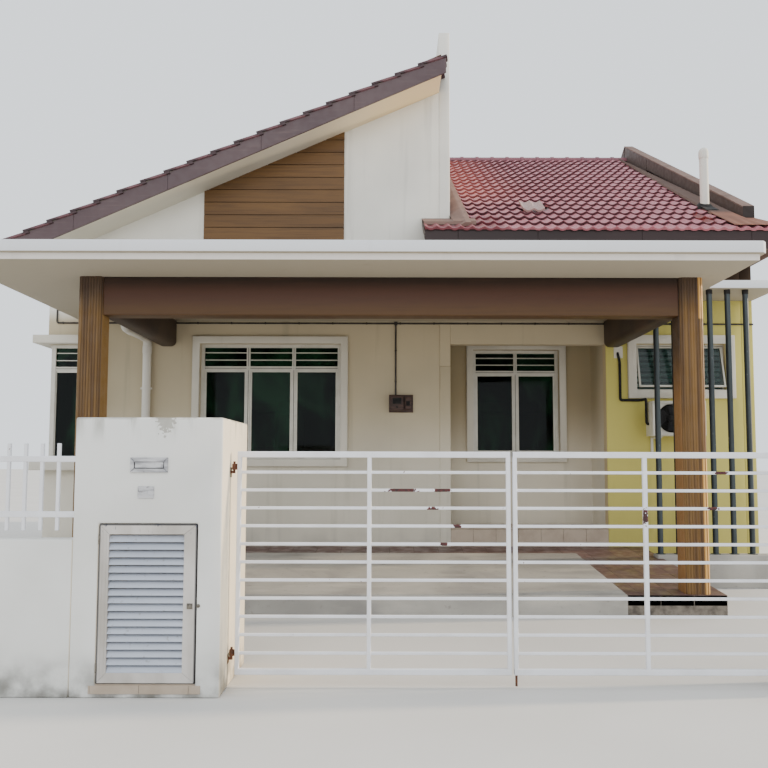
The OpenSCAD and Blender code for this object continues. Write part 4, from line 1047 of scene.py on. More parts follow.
def make_boards():
    """Fascia and verge boards in lengths."""
    boards, low = Parts(), Parts()
    chance = np.random.default_rng(15)
    lo, hi = verge_lo, verge_hi
    for y in (lo.y, hi.y - BOARD_T):
        for i, (a, b) in enumerate(cut(lo.x, hi.x, 5)):
            a += BOARD_GAP * (i > 0)
            boards.shade = float(chance.uniform())
            boards.prism(band(high_at(a), high_at(b), -BOARD_DEPTH, -VERGE_DROP), y, y + BOARD_T, c=0.002)
    eave_z = high_at(lo.x + BOARD_T / 2)[1]
    for a, b in cut(lo.y + BOARD_T, hi.y - BOARD_T, 8):
        boards.shade = float(chance.uniform())
        boards.box((lo.x, a + BOARD_GAP, eave_z - BOARD_DEPTH),
                   (lo.x + BOARD_T, b, eave_z - VERGE_DROP - 0.02), 0.002)
    finished("verge_boards", boards, "plum_board", "high_fascia", smooth=30)
    z0, z1 = eave_lo.z, LOW_FASCIA_TOP
    for y, *stops in ((eave_lo.y, eave_lo.x, *FASCIA_JOINTS, party_out),
                      (eave_hi.y - BOARD_T, fin_right, 1.3, 2.6, party_out)):
        for a, b in zip(stops, stops[1:]):
            low.shade = float(chance.uniform())
            low.box((a + BOARD_GAP / 2, y, z0), (b - BOARD_GAP / 2, y + BOARD_T, z1), 0.002)
            low.box((a + 0.004, y + 0.001, z1 - 0.045), (b - 0.004, y + 0.024, z1 - 0.004), 0.001)
    finished("low_fascia_boards", low, "fascia_board", "low_fascias", smooth=30)


def make_mortar():
    """Dabs of mortar where each course steps over the verge boards."""
    dabs = Parts()
    chance = np.random.default_rng(16)
    for y0, y1 in ((verge_lo.y - 0.004, verge_lo.y + 0.03), (verge_hi.y - 0.03, verge_hi.y + 0.004)):
        for start, _ in cut(high_x, fin_left, COURSES):
            a = start + 0.012 + float(chance.uniform(0, 0.02))
            b = a + float(chance.uniform(0.11, 0.17))
            dabs.prism([high_at(a, VERGE_DROP + 0.004), high_at(b, VERGE_DROP + 0.004),
                        high_at(b, VERGE_DROP - 0.006), high_at(a, 0.026)], y0, y1, c=0.002)
    finished("verge_mortar", dabs, "mortar")


def make_eave_filler():
    """Boards scribed to the undersides of the lowest tiles, which close the waves over the fascias."""
    filler = Parts()
    for slope in (low_front, low_back):

        def scribed(u, v):
            across = u * slope.width
            crest = TILE_LIFT - TILE_T / 2 + float(wave(across / slope.tile_w * 2))
            return slope.at(across, 0.010, 0.006 + v * (crest - 0.006))

        filler.panel(scribed, slope.columns * 2 * WAVE_STEPS, 1, slope.up * 0.006)
    finished("eave_fillers", filler, "low_tile", smooth=30)


def make_vent():
    """Capped vent pipe in a rubber boot."""
    lo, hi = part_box("vent_pipe")
    middle = Vector(((lo.x + hi.x) / 2, (lo.y + hi.y) / 2, lo.z))
    r = (hi.x - lo.x) / 2
    height = hi.z - lo.z
    pipe, boot = Parts(), Parts()
    cap = ((0.16, 0.89), (0.155, 0.95), (0.12, 1), (0.065, 1), (0.045, 0.94), (0.027, 0.82), (0.012, 0.6),
           (0.004, 0.36), (0, 0.08))
    pipe.turned(middle, Z, [(-0.08, r * 0.89)] + [(height - below, r * share) for below, share in cap], 32)
    for at in circle(middle, X, Y, r - 0.005, 8):
        pipe.box(at + Vector((-0.003, -0.003, height - 0.13)), at + Vector((0.003, 0.003, height - 0.075)),
                 0.002)
    finished("vent_stack", pipe, "pipe_plastic", "vent_pipe")
    along = middle.y - low_front.corner.y
    foot = Vector((middle.x, middle.y, LOW_EAVE_Z + LOW_RISE * along + 0.03))
    slant = [(-0.01, 0.104), (0.035, 0.100), (0.055, 0.084), (0.072, 0.070), (0.072, 0.05)]
    sides = 28
    verts = [v for rise, radius in slant
             for v in circle(foot + Z * rise, X, Y + Z * LOW_RISE, radius, sides)]
    boot.loft(verts, len(slant), sides)
    u0, s0 = middle.x - low_front.corner.x - 0.088, along * LOW_SLOPE - 0.27
    boot.panel(lambda u, v: low_front.at(u0 + 0.160 * u, s0 + 0.36 * v, FLASH_LEVEL + 0.009), 6, 6,
               low_front.out * 0.004)
    finished("vent_boot", boot, "black_foam")


def make_siding():
    """Horizontal boards cut to the sloping soffit, on a dark backing."""
    (x0, y0, z0), (x1, y1, z1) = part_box("siding_panel")
    pitch = 0.1675
    groove = 0.008
    boards, back = Parts(), Parts()
    chance = np.random.default_rng(17)
    kink = high_at(x0, BOARD_DEPTH)

    def left_at(z):
        return max(x0, (z + BOARD_DEPTH - HIGH_TOP) / HIGH_RISE)

    z = z0
    while z < z1 - 0.01:
        top = min(z + pitch - groove, z1)
        outline = [(left_at(z), z), (x1, z), (x1, top), (left_at(top), top)]
        if z < kink[1] < top:
            outline.append(kink)
        boards.shade = float(chance.uniform())
        boards.prism(outline, y0, y0 + 0.017, c=0.0015)
        z += pitch
    finished("gable_boards", boards, "siding_wood", "siding_panel", smooth=25)
    back.prism([(x0, z0), (x1, z0), (x1, z1), kink], y0 + 0.016, y1)
    finished("gable_backing", back, "black_foam")


inner = range(2, low_front.columns - 1)
tile_field("front_roof_tiles", low_front, "low_tile", "low_roof_front",
           lambda i, k: (k == 0 or i in inner) and (i, k) != SLIPPED_TILE, 11)
tile_field("back_roof_tiles", low_back, "low_tile", "low_roof_back",
           lambda i, k: k == 0 or 0 < i < low_back.columns - 1, 12)
tile_field("high_roof_tiles", high, "high_tile", "high_roof", lambda i, k: True, 13)
for make in (make_decks, make_slipped_tile, make_ridge, make_flashings, make_parapet, make_boards,
             make_mortar, make_eave_filler, make_vent, make_siding):
    make()


# CARPORT
FLUTES = 32
FLUTE_DEPTH = 0.007
FLUTE_SHARPNESS = 1.5
COLUMN_R = 0.05
COLUMN_SIDES = 224


def column_ring(middle, half, z):
    """A rounded square with combed upright grooves."""
    straight = 2 * (half - COLUMN_R)
    quarter = straight + math.pi / 2 * COLUMN_R
    ring = []
    for i in range(COLUMN_SIDES):
        side, rest = divmod(4 * quarter * i / COLUMN_SIDES, quarter)
        turn = max(0.0, rest - straight) / COLUMN_R
        normal = Vector((math.cos(turn), math.sin(turn)))
        base = Vector((half - COLUMN_R, min(rest, straight) - half + COLUMN_R))
        comb = max(0.0, math.cos(math.tau * FLUTES * (i + 0.5) / COLUMN_SIDES))
        groove = FLUTE_DEPTH * comb ** FLUTE_SHARPNESS
        at = Matrix.Rotation(side * math.pi / 2, 2) @ (base + normal * (COLUMN_R - groove))
        ring.append((middle.x + at.x, middle.y + at.y, z))
    return ring


def make_column(node):
    lo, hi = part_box(node)
    middle, half = (lo + hi) / 2, (hi.x - lo.x) / 2
    parts = Parts()
    parts.loft(column_ring(middle, half, lo.z) + column_ring(middle, half, hi.z), 2, COLUMN_SIDES)
    finished(node + "_fluted", parts, "column_paint", node, smooth=50)


def make_downpipe():
    lo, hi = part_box("downpipe")
    r = 0.055
    x, y_wall, y_out, bend_z = (lo.x + hi.x) / 2, wall_face - 0.07, lo.y + r, 3.038
    parts = Parts()
    parts.tube([(x, y_wall, lo.z), (x, y_wall, bend_z), (x, y_out, bend_z), (x, y_out, hi.z)],
               r * 0.95, 0.07, 24)
    for z0, z1 in ((0.42, 0.50), (1.7, 1.78), (bend_z - 0.19, bend_z - 0.09)):
        parts.collar((x, y_wall, z0), Z, z1 - z0, r * 0.96, r * 1.04, 0.004, 24)
    parts.collar((x, y_out + 0.16, bend_z), Y, 0.074, r * 0.96, r * 1.04, 0.004, 24)
    parts.collar((x, y_out, hi.z - 0.09), Z, 0.09, r * 0.96, r * 1.04, 0.004, 24, closed=False)
    for z in (1.0, 2.4):
        parts.collar((x, y_wall, z - 0.015), Z, 0.03, r, r * 1.07, 0.002, 24)
        parts.box((x - 0.015, y_wall + r * 0.9, z - 0.015), (x + 0.015, wall_face, z + 0.015))
        for ear in (x - r - 0.012, x + r + 0.012):
            parts.box((ear - 0.009, y_wall - 0.003, z - 0.012), (ear + 0.009, y_wall + 0.003, z + 0.012),
                      0.001)
    finished("downpipe_run", parts, "pipe_plastic", "downpipe", smooth=40)


for node, look, width in (
        ("porch_slab", "slab_paint", 0.01), ("porch_beam", "beam_paint", 0.01),
        ("side_beams", "side_beam_paint", 0.01), ("front_surrounds", "trim_paint", 0.008),
        ("corner_surround", "trim_paint", 0.008), ("rear_surrounds", "trim_paint", 0.008),
        ("screen_ledge", "slab_paint", 0.01), ("screen_kerb", "concrete", 0.01),
        ("gate_pier", "pier_paint", 0.012), ("low_wall", "pier_paint", 0.012),
        ("gate_post", "pier_paint", 0.012), ("ac_unit", "unit_shell", 0.006),
        ("meter_board", "board_brown", 0.004)):
    softened(node, look, width)
make_column("column_left")
make_column("column_right")
make_downpipe()


# WINDOWS
FRAME_W = 0.045
FRAME_D = 0.06
TRANSOM_W = 0.05
LOUVRE_H = 0.242
SASH_W = 0.025
GROOVE = 0.007
FRAME_SET = 0.055
CORNER_SET = 0.035


def bars(parts, u, z, near, far, w, c=0.003):
    """A ring of bars w wide, in along, depth and height."""
    for a in (u[0], u[1] - w):
        parts.box((a, near, z[0]), (a + w, far, z[1]), c)
    for a in (z[0], z[1] - w):
        parts.box((u[0] + w, near + 0.0005, a), (u[1] - w, far, a + w), c)


def window(parts, panes, joints, place, u0, u1, z0, z1, columns, near=FRAME_SET):
    """Frame, grooved mullions and transom, a sash in each lower lite and two fixed bars in each upper one."""
    parts.place = panes.place = joints.place = place
    far = near + FRAME_D
    bars(parts, (u0, u1), (z0, z1), near, far, FRAME_W)
    w = (u1 - u0 - FRAME_W * (columns + 1)) / columns
    top = z1 - FRAME_W - LOUVRE_H
    low = top - TRANSOM_W
    sill, head = z0 + FRAME_W, z1 - FRAME_W
    half = (TRANSOM_W - GROOVE) / 2
    for a in (low, top - half):
        parts.box((u0 + FRAME_W, near + 0.004, a), (u1 - FRAME_W, far - 0.004, a + half), 0.002)
    joints.box((u0 + FRAME_W, near + 0.009, low + 0.004), (u1 - FRAME_W, far - 0.006, top - 0.004), 0.001)
    half = (FRAME_W - GROOVE) / 2
    for i in range(columns):
        x0 = u0 + FRAME_W + i * (w + FRAME_W)
        x1 = x0 + w
        if i:
            for a in (x0 - FRAME_W, x0 - half):
                parts.box((a, near + 0.002, sill), (a + half, far - 0.002, head), 0.002)
            joints.box((x0 - FRAME_W + 0.004, near + 0.008, sill), (x0 - 0.004, far - 0.006, head), 0.001)
        bars(parts, (x0, x1), (sill, low), near + 0.01, far - 0.015, SASH_W)
        for share in (0.34, 0.735):
            z = top + LOUVRE_H * share
            parts.box((x0, near + 0.012, z - 0.006), (x1, near + 0.03, z + 0.006), 0.002)
        for a, b in ((sill, low), (top, head)):
            panes.box((x0, near + 0.03, a), (x1, near + 0.036, b), 0.0005)


def make_windows():
    recess_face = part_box("front_surrounds")[1].y
    panes, rear_panes, joints = Parts(), Parts(), Parts()

    def on_recess(p):
        return (p.x, recess_face + p.y, p.z)

    jobs = {
        "front_window_frame": [(on_street, -3.16, -1.344, 1.5, 2.99, 3)],
        "entrance_window_frame": [(on_recess, 0.442, 1.634, 1.558, 3.025, 2)],
        "corner_window_frame": [(place, face + CORNER_SET, face + 0.57, 1.46, 2.975, 1, CORNER_SET)
                                for place, face in ((on_street, left_face), (on_side, wall_face))],
        "rear_window_frames": [(place, start, start + 1.5, 1.5, 2.99, 2)
                               for place, start in ((on_back, -4.25), (on_back, 1.55), (on_side, 4.45))]}
    for node, windows in jobs.items():
        parts = Parts()
        for job in windows:
            window(parts, rear_panes if node.startswith("rear") else panes, joints, *job)
        if node.startswith("corner"):
            parts.place = stay
            corner = Vector((left_face + CORNER_SET, wall_face + CORNER_SET, 1.46))
            parts.box(corner - Vector((0.002, 0.002, 0)), corner + Vector((FRAME_D, FRAME_D, 1.515)), 0.006)
        finished(node + "_bars", parts, "window_alu", node, smooth=30)
    finished("window_joints", joints, "black_foam")
    finished("front_panes", panes, "window_glass", "front_glass", smooth=30)
    finished("rear_panes", rear_panes, "window_glass", "rear_glass", smooth=30)


HOPPER = ((2.461, 3.619), (2.400, 2.997))
HOPPER_ANGLE = math.radians(12.5)
HOPPER_PLAY = 0.006
HOPPER_SASH = 0.022
HOPPER_FRAME = 0.018


def make_hopper():
    """High window whose sash hangs out from its top rail, with a slatted blind behind it."""
    (u0, u1), (z0, z1) = HOPPER
    near = wall_face + FRAME_SET
    parts, blind = Parts(), Parts()
    bars(parts, (u0, u1), (z0, z1), near, near + FRAME_D, HOPPER_FRAME)
    edge = HOPPER_FRAME + HOPPER_PLAY
    turn = Matrix.Rotation(-HOPPER_ANGLE, 3, "X")
    hinge = Vector((0, near, z1 - edge))
    pane = Parts(lambda p: hinge + turn @ (p - hinge))
    parts.place = pane.place
    (a, b), (low, top) = (u0 + edge, u1 - edge), (z0 + edge, z1 - edge)
    bars(parts, (a, b), (low, top), near, near + 0.028, HOPPER_SASH)
    bars(parts, (a + 0.012, b - 0.012), (low + 0.012, top - 0.012), near - 0.003, near + 0.004,
         HOPPER_SASH - 0.012, 0.002)
    middle = (u0 + u1) / 2
    parts.box((middle - 0.03, near + 0.028, low + 0.004), (middle + 0.03, near + 0.04, low + 0.026), 0.003)
    parts.place = stay
    for x in ((u0 * 3 + u1) / 4, (u0 + u1 * 3) / 4):
        parts.turned((x, near, z1 - HOPPER_FRAME), X, [(0, 0.012), (HOPPER_SASH, 0.012)], 16)
    finished("hopper_frame_and_sash", parts, "window_alu", "hopper_window_frame", smooth=30)
    inset = HOPPER_SASH - 0.004
    pane.box((a + inset, near + 0.012, low + inset), (b - inset, near + 0.017, top - inset), 0.0005)
    finished("hopper_pane", pane, "clear_glass")
    for i, (z, end) in enumerate(cut(z0 + HOPPER_FRAME, z1 - HOPPER_FRAME, 16)):
        # alternate strips: painted shaded lower half and painted lit upper half of each slat
        blind.shade = i % 2
        blind.prism([(near + 0.066, z + 0.001), (near + 0.069, z + 0.001), (near + 0.077, end - 0.001),
                     (near + 0.074, end - 0.001)],
                    u0 + HOPPER_FRAME + 0.004, u1 - HOPPER_FRAME - 0.004, axis=0)
    finished("hopper_blind", blind, "blind_cloth")


def make_doors():
    """Two closed six-panel doors, each with a lever and a threshold."""
    doors, metal = Parts(), Parts()
    near, core, far = 0.06, 0.072, 0.105
    rail = 0.11
    floor_z, top = (corner.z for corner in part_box("outer_doors"))
    for place, middle in ((on_side, 2.6), (on_back, -1.3)):
        doors.place = metal.place = place
        u0, u1 = middle - 0.45, middle + 0.45
        doors.box((u0, core, floor_z), (u1, far, top), 0.002)
        stiles = (u0, middle - rail / 2, u1 - rail)
        for u in stiles:
            doors.box((u, near, floor_z), (u + rail, core + 0.002, top), 0.003)
        rails = (floor_z, floor_z + 0.75, floor_z + 1.5, top - rail)
        for z in rails:
            doors.box((u0 + rail, near + 0.0005, z), (u1 - rail, core + 0.002, z + rail), 0.003)
        for (low, head), (a, b) in product(zip(rails, rails[1:]), zip(stiles, stiles[1:])):
            doors.box((a + rail + 0.02, near + 0.004, low + rail + 0.02),
                      (b - 0.02, core + 0.002, head - 0.02), 0.006)
        x, lever = u1 - 0.055, floor_z + 1.0
        metal.box((x - 0.02, near - 0.006, lever - 0.09), (x + 0.02, near, lever + 0.09), 0.002)
        metal.turned((x, near - 0.05, lever), Y, [(0, 0.008), (0.046, 0.008)], 12)
        metal.tube([(x, near - 0.046, lever), (u1 - 0.17, near - 0.046, lever)], 0.008)
        metal.box((u0, near - 0.02, floor_z - 0.004), (u1, far, floor_z + 0.006), 0.002)
    finished("panelled_doors", doors, "door_wood", "outer_doors", smooth=30)
    finished("door_fittings", metal, "plate_steel", smooth=40)


# SCREEN AND SERVICES
def make_poles():
    lo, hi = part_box("screen_poles")
    r = 0.033
    poles, collars = Parts(), Parts()
    count = 6
    for i in range(count):
        x = lo.x + r + i * (hi.x - lo.x - 2 * r) / (count - 1)
        y = (lo.y + hi.y) / 2
        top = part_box("porch_slab")[0].z if i == 0 else hi.z
        poles.turned((x, y, lo.z), Z, [(0, r), (top - lo.z, r)], 28)
        poles.turned((x, y, lo.z), Z, [(0, r * 1.7), (0.006, r * 1.7), (0.008, r * 1.05), (0.012, r)], 28)
        collars.collar((x, y, top - 0.055), Z, 0.055, r * 1.02, r * 1.12, 0.004, 28, closed=False)
    finished("screen_pole_tubes", poles, "pole_paint", "screen_poles", smooth=50)
    finished("pole_collars", collars, "black_foam", smooth=50)


def make_unit():
    """The outdoor unit's fan, wire guard, service cover and feet."""
    lo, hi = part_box("ac_unit")
    bottom = 1.80
    y = lo.y
    middle = Vector((2.772, y, (bottom + hi.z) / 2))
    guard, trim, fan, dark = Parts(), Parts(), Parts(), Parts()
    for r in np.linspace(0.026, 0.176, 8):
        ring = circle(middle - Y * 0.005, X, Z, float(r), 40)
        guard.tube(ring + ring[:1], 0.0024, 0, 6)
    for out in circle(Vector(), X, Z, 1, 16):
        guard.tube([middle + out * 0.02 - Y * 0.002, middle + out * 0.178 - Y * 0.002], 0.002, 0, 6)
    guard.turned(middle - Y * 0.008, Y, [(0, 0.024), (0.003, 0.03), (0.008, 0.03)], 24)
    for blade in range(3):

        def swept(u, v):
            angle = math.tau * blade / 3 + 1.5 * u + 0.25 * v
            radius = 0.03 + 0.125 * v
            return middle + Vector((radius * math.cos(angle), 0.035 + 0.03 * u, radius * math.sin(angle)))

        fan.panel(swept, 8, 5, Y * -0.003)
    fan.turned(middle + Y * 0.025, Y, [(0, 0.02), (0.008, 0.035), (0.05, 0.035)], 20)
    dark.turned(middle + Y * 0.084, Y, [(0, 0.174), (0.003, 0.174)], 40)
    trim.box((2.985, y - 0.003, bottom + 0.02), (hi.x - 0.02, y + 0.002, hi.z - 0.05), 0.002)
    trim.box((lo.x + 0.004, y - 0.004, hi.z - 0.03), (hi.x - 0.004, y + 0.01, hi.z - 0.022), 0.001)
    for i in range(9):
        z = bottom + 0.06 + 0.038 * i
        trim.box((hi.x - 0.001, y + 0.04, z), (hi.x + 0.003, -0.23, z + 0.014), 0.002)
    for x in (lo.x + 0.105, hi.x - 0.105):
        trim.box((x - 0.03, y + 0.02, bottom - 0.012), (x + 0.03, y + 0.05, bottom + 0.004), 0.003)
    finished("unit_guard", guard, "black_foam", smooth=50)
    finished("unit_trim", trim, "unit_shell", smooth=30)
    finished("unit_fan", fan, "fan_plastic", smooth=40)
    finished("unit_fan_well", dark, "black_foam")


def make_unit_pipe():
    """Ribbed insulation from the wall sleeve down and across to the unit."""
    lo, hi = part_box("ac_pipe")
    r = 0.0165
    y0, y1 = wall_face - 0.02, lo.y + 0.018
    x0, x1 = lo.x + 0.04, hi.x - 0.027
    top, run_z, end_z = hi.z - 0.014, 2.265, lo.z + 0.014
    corners = [(x0 - 0.02, wall_face, top), (x0 - 0.02, y0, top - 0.03), (x0, y0, top - 0.12),
               (x0, y0, run_z), (x1, y0, run_z), (x1, y1, run_z), (x1, y1, end_z), (hi.x, y1, end_z)]
    pipe, sleeve = Parts(), Parts()
    pipe.tube(corners, r, 0.03, 12)
    path = rounded([Vector(corner) for corner in corners], 0.03)
    walked = 0.0
    for a, b in zip(path, path[1:]):
        reach = (b - a).length
        while reach > 0 and walked < reach:
            pipe.collar(a + (b - a) * walked / reach, b - a, 0.007, r * 0.99, r + 0.0015, 0.002, 12)
            walked += 0.013
        walked -= reach
    finished("unit_pipe_ribbed", pipe, "black_foam", "ac_pipe", smooth=40)
    sleeve.box((x0 - 0.07, wall_face - 0.01, top - 0.07), (x0 + 0.045, wall_face, top + 0.085), 0.006)
    finished("unit_pipe_sleeve", sleeve, "trim_paint")


def make_meter():
    """Boxes on the meter board: a glazed meter and a breaker with its levers."""
    board_y = wall_face - 0.03
    cover, dark = Parts(), Parts()
    cover.box((-0.692, -0.186, 2.135), (-0.548, board_y - 0.02, 2.298), 0.012)
    cover.box((-0.515, -0.151, 2.14), (-0.441, board_y - 0.01, 2.29), 0.008)
    dark.box((-0.676, -0.189, 2.205), (-0.564, -0.18, 2.285), 0.004)
    dark.turned((-0.62, -0.189, 2.165), Y, [(0, 0.012), (0.01, 0.012)], 16)
    dark.box((-0.502, -0.155, 2.185), (-0.454, -0.148, 2.245), 0.002)
    dark.box((-0.486, -0.165, 2.205), (-0.470, -0.15, 2.225), 0.002)
    finished("meter_covers", cover, "board_brown", smooth=40)
    finished("meter_window", dark, "black_foam", smooth=40)


def make_conduit():
    lo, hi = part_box("conduit")
    r = 0.011
    y, z = wall_face - r, 3.254
    drop_x = -0.636
    (a0, a1), (b0, b1) = beams = ((-3.70, -3.47), (2.055, 2.285))
    parts = Parts()
    x0, x1 = lo.x + r, hi.x
    parts.tube([(x0, y, hi.z), (x0, y, z), (a0, y, z)], r, 0.03, 10)
    for start, end in (((a1, y, z), (b0, y, z)), ((b1, y, z), (x1, y, z)),
                       ((drop_x, y, z), (drop_x, y, lo.z))):
        parts.tube([start, end], r, 0, 10)
    parts.box((drop_x - 0.022, y - 0.016, z - 0.022), (drop_x + 0.022, wall_face, z + 0.022), 0.003)
    for i in range(20):
        x = x0 + 0.08 + i * 0.436
        if all(not a - 0.02 < x < b + 0.02 for a, b in beams) and x < x1:
            parts.box((x - 0.008, y - r - 0.002, z - r - 0.003), (x + 0.008, wall_face, z + r + 0.003),
                      0.002)
    for drop in (2.5, 2.9):
        parts.box((drop_x - r - 0.003, y - r - 0.002, drop - 0.008),
                  (drop_x + r + 0.003, wall_face, drop + 0.008), 0.002)
    finished("conduit_run", parts, "conduit_dark", "conduit", smooth=40)


# BOUNDARY
HOOK_ZS = (0.200, 1.420)


def make_bin_door():
    """Louvred leaf: mitred rim, eighteen sloping slats, a knob and hinge knuckles."""
    node = "bin_door"
    x0, y, _ = hinges["bin_door_swing"]
    x1, z0, z1 = -1.940, 0.092, 1.076
    rim, wide = 0.062, 0.078
    rims, slats, knob = Parts(), Parts(), Parts()
    rims.mitred((x0, x1), (z0, z1), (rim, wide), rim, 0.0006, y + 0.001, y + 0.035, 0.0012)
    for x in (x0 + 0.022, x0 + 0.045):
        rims.box((x - 0.0015, y - 0.001, z0 + 0.03), (x + 0.0015, y + 0.002, z1 - 0.03), 0.0004)
    for i, (z, end) in enumerate(cut(z0 + rim, z1 - rim, 18)):
        slats.shade = 0.2 + 0.6 * ((i * 7) % 5) / 4
        slats.prism([(y + 0.003, z), (y + 0.0045, z - 0.0015), (y + 0.007, z), (y + 0.030, end - 0.013),
                     (y + 0.030, end - 0.009), (y + 0.026, end - 0.009), (y + 0.0035, z + 0.004)],
                    x0 + rim - 0.002, x1 - wide + 0.002, axis=0)
    knob.turned((x1 - 0.035, y - 0.012, 0.566), Y,
                [(0, 0.010), (0.002, 0.0135), (0.007, 0.0135), (0.009, 0.009), (0.014, 0.009)], 20)
    knob.box((x1 - 0.055, y - 0.002, 0.548), (x1 - 0.018, y + 0.004, 0.584), 0.0015)
    for z in (z0 + rim, z1 - rim - 0.06):
        knob.collar((x0, y, z), Z, 0.06, 0.0045, 0.005, 0.001, 12)
    finished("bin_door_rim", rims, "bin_frame_alu", node, node, smooth=30)
    finished("bin_door_slats", slats, "louvre_alu", body=node, smooth=25)
    finished("bin_door_knob", knob, "latch_steel", body=node, smooth=40)


def make_pier_fittings():
    """Letter plate with a flap, service plate, keeper, sill tiles and hook plates of the pier."""
    face_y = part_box("gate_pier")[0].y
    (x0, y0, _), (x1, _, z1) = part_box("letter_plate")
    z0 = 1.405
    rim = 0.024
    plate, dark, keeper, tiles, hooks = Parts(), Parts(), Parts(), Parts(), Parts()
    plate.mitred((x0, x1), (z0, z1), (rim, rim), rim, 0.0004, y0, face_y, 0.003)
    plate.box((x0 + rim + 0.004, y0 + 0.005, z0 + rim + 0.004), (x1 - rim - 0.004, face_y, z1 - rim - 0.005),
              0.002)
    dark.box((x0 + rim - 0.001, y0 + 0.009, z0 + rim - 0.001), (x1 - rim + 0.001, face_y, z1 - rim + 0.001),
             0.0005)
    finished("letter_plate_gap", dark, "black_foam")
    plate.turned((x0 + rim, y0 + 0.005, z1 - rim - 0.003), X, [(0, 0.003), (x1 - x0 - 2 * rim, 0.003)], 10)
    sx, sz = -2.318, 1.24
    plate.box((sx, face_y - 0.008, sz), (sx + 0.102, face_y, sz + 0.076), 0.003)
    for x in (sx + 0.012, sx + 0.09):
        plate.turned((x, face_y - 0.0105, sz + 0.038), Y, [(0, 0.003), (0.001, 0.0045), (0.004, 0.0045)], 12)
    loop = [(sx + dx, face_y - 0.0095, sz + dz)
            for dx, dz in ((0.04, 0.052), (0.04, 0.03), (0.062, 0.03), (0.062, 0.052))]
    plate.tube(loop, 0.0022, 0.008, 8)
    finished("letter_slot_and_plate", plate, "plate_steel", "letter_plate", smooth=30)
    keeper.turned((-1.922, face_y - 0.006, 0.569), Y, [(0, 0.009), (0.002, 0.012), (0.006, 0.012)], 16)
    finished("bin_door_keeper", keeper, "latch_steel", smooth=40)
    joints = (-2.602, -2.591, -2.284, -1.973, -1.899)
    for i, (a, b) in enumerate(zip(joints, joints[1:])):
        tiles.shade = 0.3 + 0.15 * i
        tiles.box((a + 0.001, face_y - 0.005, 0.026), (b - 0.001, face_y + 0.004, 0.077), 0.0015)
    tiles.box((-2.56, face_y + 0.002, 0.076), (-1.936, face_y + 0.1, 0.084), 0.0015)
    finished("bin_sill_tiles", tiles, "step_tile")
    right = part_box("gate_pier")[1].x
    y = hinges["gate_left_swing"].y
    for z in HOOK_ZS:
        hooks.box((right - 0.002, y - 0.03, z - 0.05), (right + 0.0015, y + 0.03, z + 0.015), 0.001)
    finished("hook_plates", hooks, "hook_plate")


def make_gate(side):
    """One leaf of painted box sections. Its eyes and bolt are bare rusty steel."""
    body = "gate_leaf_" + side
    axis = hinges["gate_" + side + "_swing"]
    x0, x1 = (-1.736, 0.086) if side == "left" else (0.102, 1.924)
    z0, z1 = 0.080, 1.543
    y = axis.y
    leaf, iron = Parts(), Parts()
    bar, top_bar, stile = 0.020, 0.040, 0.028
    rails = [z0 + top_bar / 2 + i * (z1 - z0 - top_bar) / 12 for i in range(1, 12)]
    for z in (z0, z1 - top_bar):
        leaf.box((x0, y - 0.015, z), (x1, y + 0.015, z + top_bar), 0.0035)
    for z in rails:
        leaf.box((x0 + 0.002, y - 0.008, z - bar / 2), (x1 - 0.002, y + 0.008, z + bar / 2), 0.003)
    for x in (x0, x1 - stile, x0 + 0.868):
        leaf.box((x, y - 0.0148, z0 + 0.0005), (x + stile, y + 0.0148, z1 - 0.0005), 0.0035)
        for z, weld in product(rails, (x - 0.002, x + stile + 0.002)):
            if x0 < weld < x1:
                leaf.box((weld - 0.003, y - 0.0095, z - 0.0115), (weld + 0.003, y + 0.0095, z + 0.0115),
                         0.0025)
    a, b = sorted((axis.x + 0.012, x0 + 0.002) if side == "left" else (axis.x - 0.012, x1 - 0.002))
    for z in HOOK_ZS:
        make_eye(iron, axis, z)
        iron.box((a, y - 0.005, z), (b, y + 0.005, z + 0.04), 0.001)
    if side == "right":
        iron.turned((x0 + stile / 2, y, 0.008), Z, [(0, 0.0065), (0.002, 0.008), (0.08, 0.008)], 14)
    finished(body + "_bars", leaf, "gate_paint", body, body, smooth=30)
    finished(body + "_iron", iron, "rusty_steel", body=body, smooth=40)


def make_eye(parts, axis, z):
    """A hinge eye: a ring with 1 mm of play on its pin."""
    outer, inner, height, sides = 0.015, 0.009, 0.04, 24
    verts = []
    for radius, rise in ((outer, 0), (outer, height), (inner, height), (inner, 0)):
        verts += circle(Vector((axis.x, axis.y, z + rise)), X, Y, radius, sides)
    faces = [[a * sides + i, a * sides + k, (a + 1) % 4 * sides + k, (a + 1) % 4 * sides + i]
             for a in range(4) for i, k in enumerate([*range(1, sides), 0])]
    parts.add(verts, faces)


def make_fence():
    lo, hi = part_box("picket_fence")
    y = (lo.y + hi.y) / 2
    parts = Parts()
    for z in (1.115, 1.470):
        parts.box((lo.x, y - 0.015, z), (hi.x, y + 0.015, z + 0.038), 0.003)
    pitch = 0.1076
    last = -2.857
    for i in range(math.floor((last - lo.x - 0.02) / pitch) + 1):
        x = last - i * pitch
        parts.box((x - 0.011, y - 0.011, lo.z), (x + 0.011, y + 0.011, hi.z), 0.003)
    finished("picket_bars", parts, "gate_paint", "picket_fence", smooth=30)


# FLOORS
TILE = 0.3
JOINT = 0.003


def tiled(parts, x, y, height, start):
    """Square tiles over a rectangle, cut at its edges, with open joints."""
    chance = np.random.default_rng(21)
    spans = [[(max(lo, at + i * TILE + JOINT / 2), min(hi, at + (i + 1) * TILE - JOINT / 2))
              for i in range(math.floor((lo - at) / TILE), math.ceil((hi - at) / TILE))]
             for (lo, hi), at in zip((x, y), start)]
    for (a, b), (c, d) in product(*spans):
        parts.shade = float(chance.uniform())
        if b - a > 0.01 and d - c > 0.01:
            parts.box((a, c, height - 0.01), (b, d, height), 0.0015)


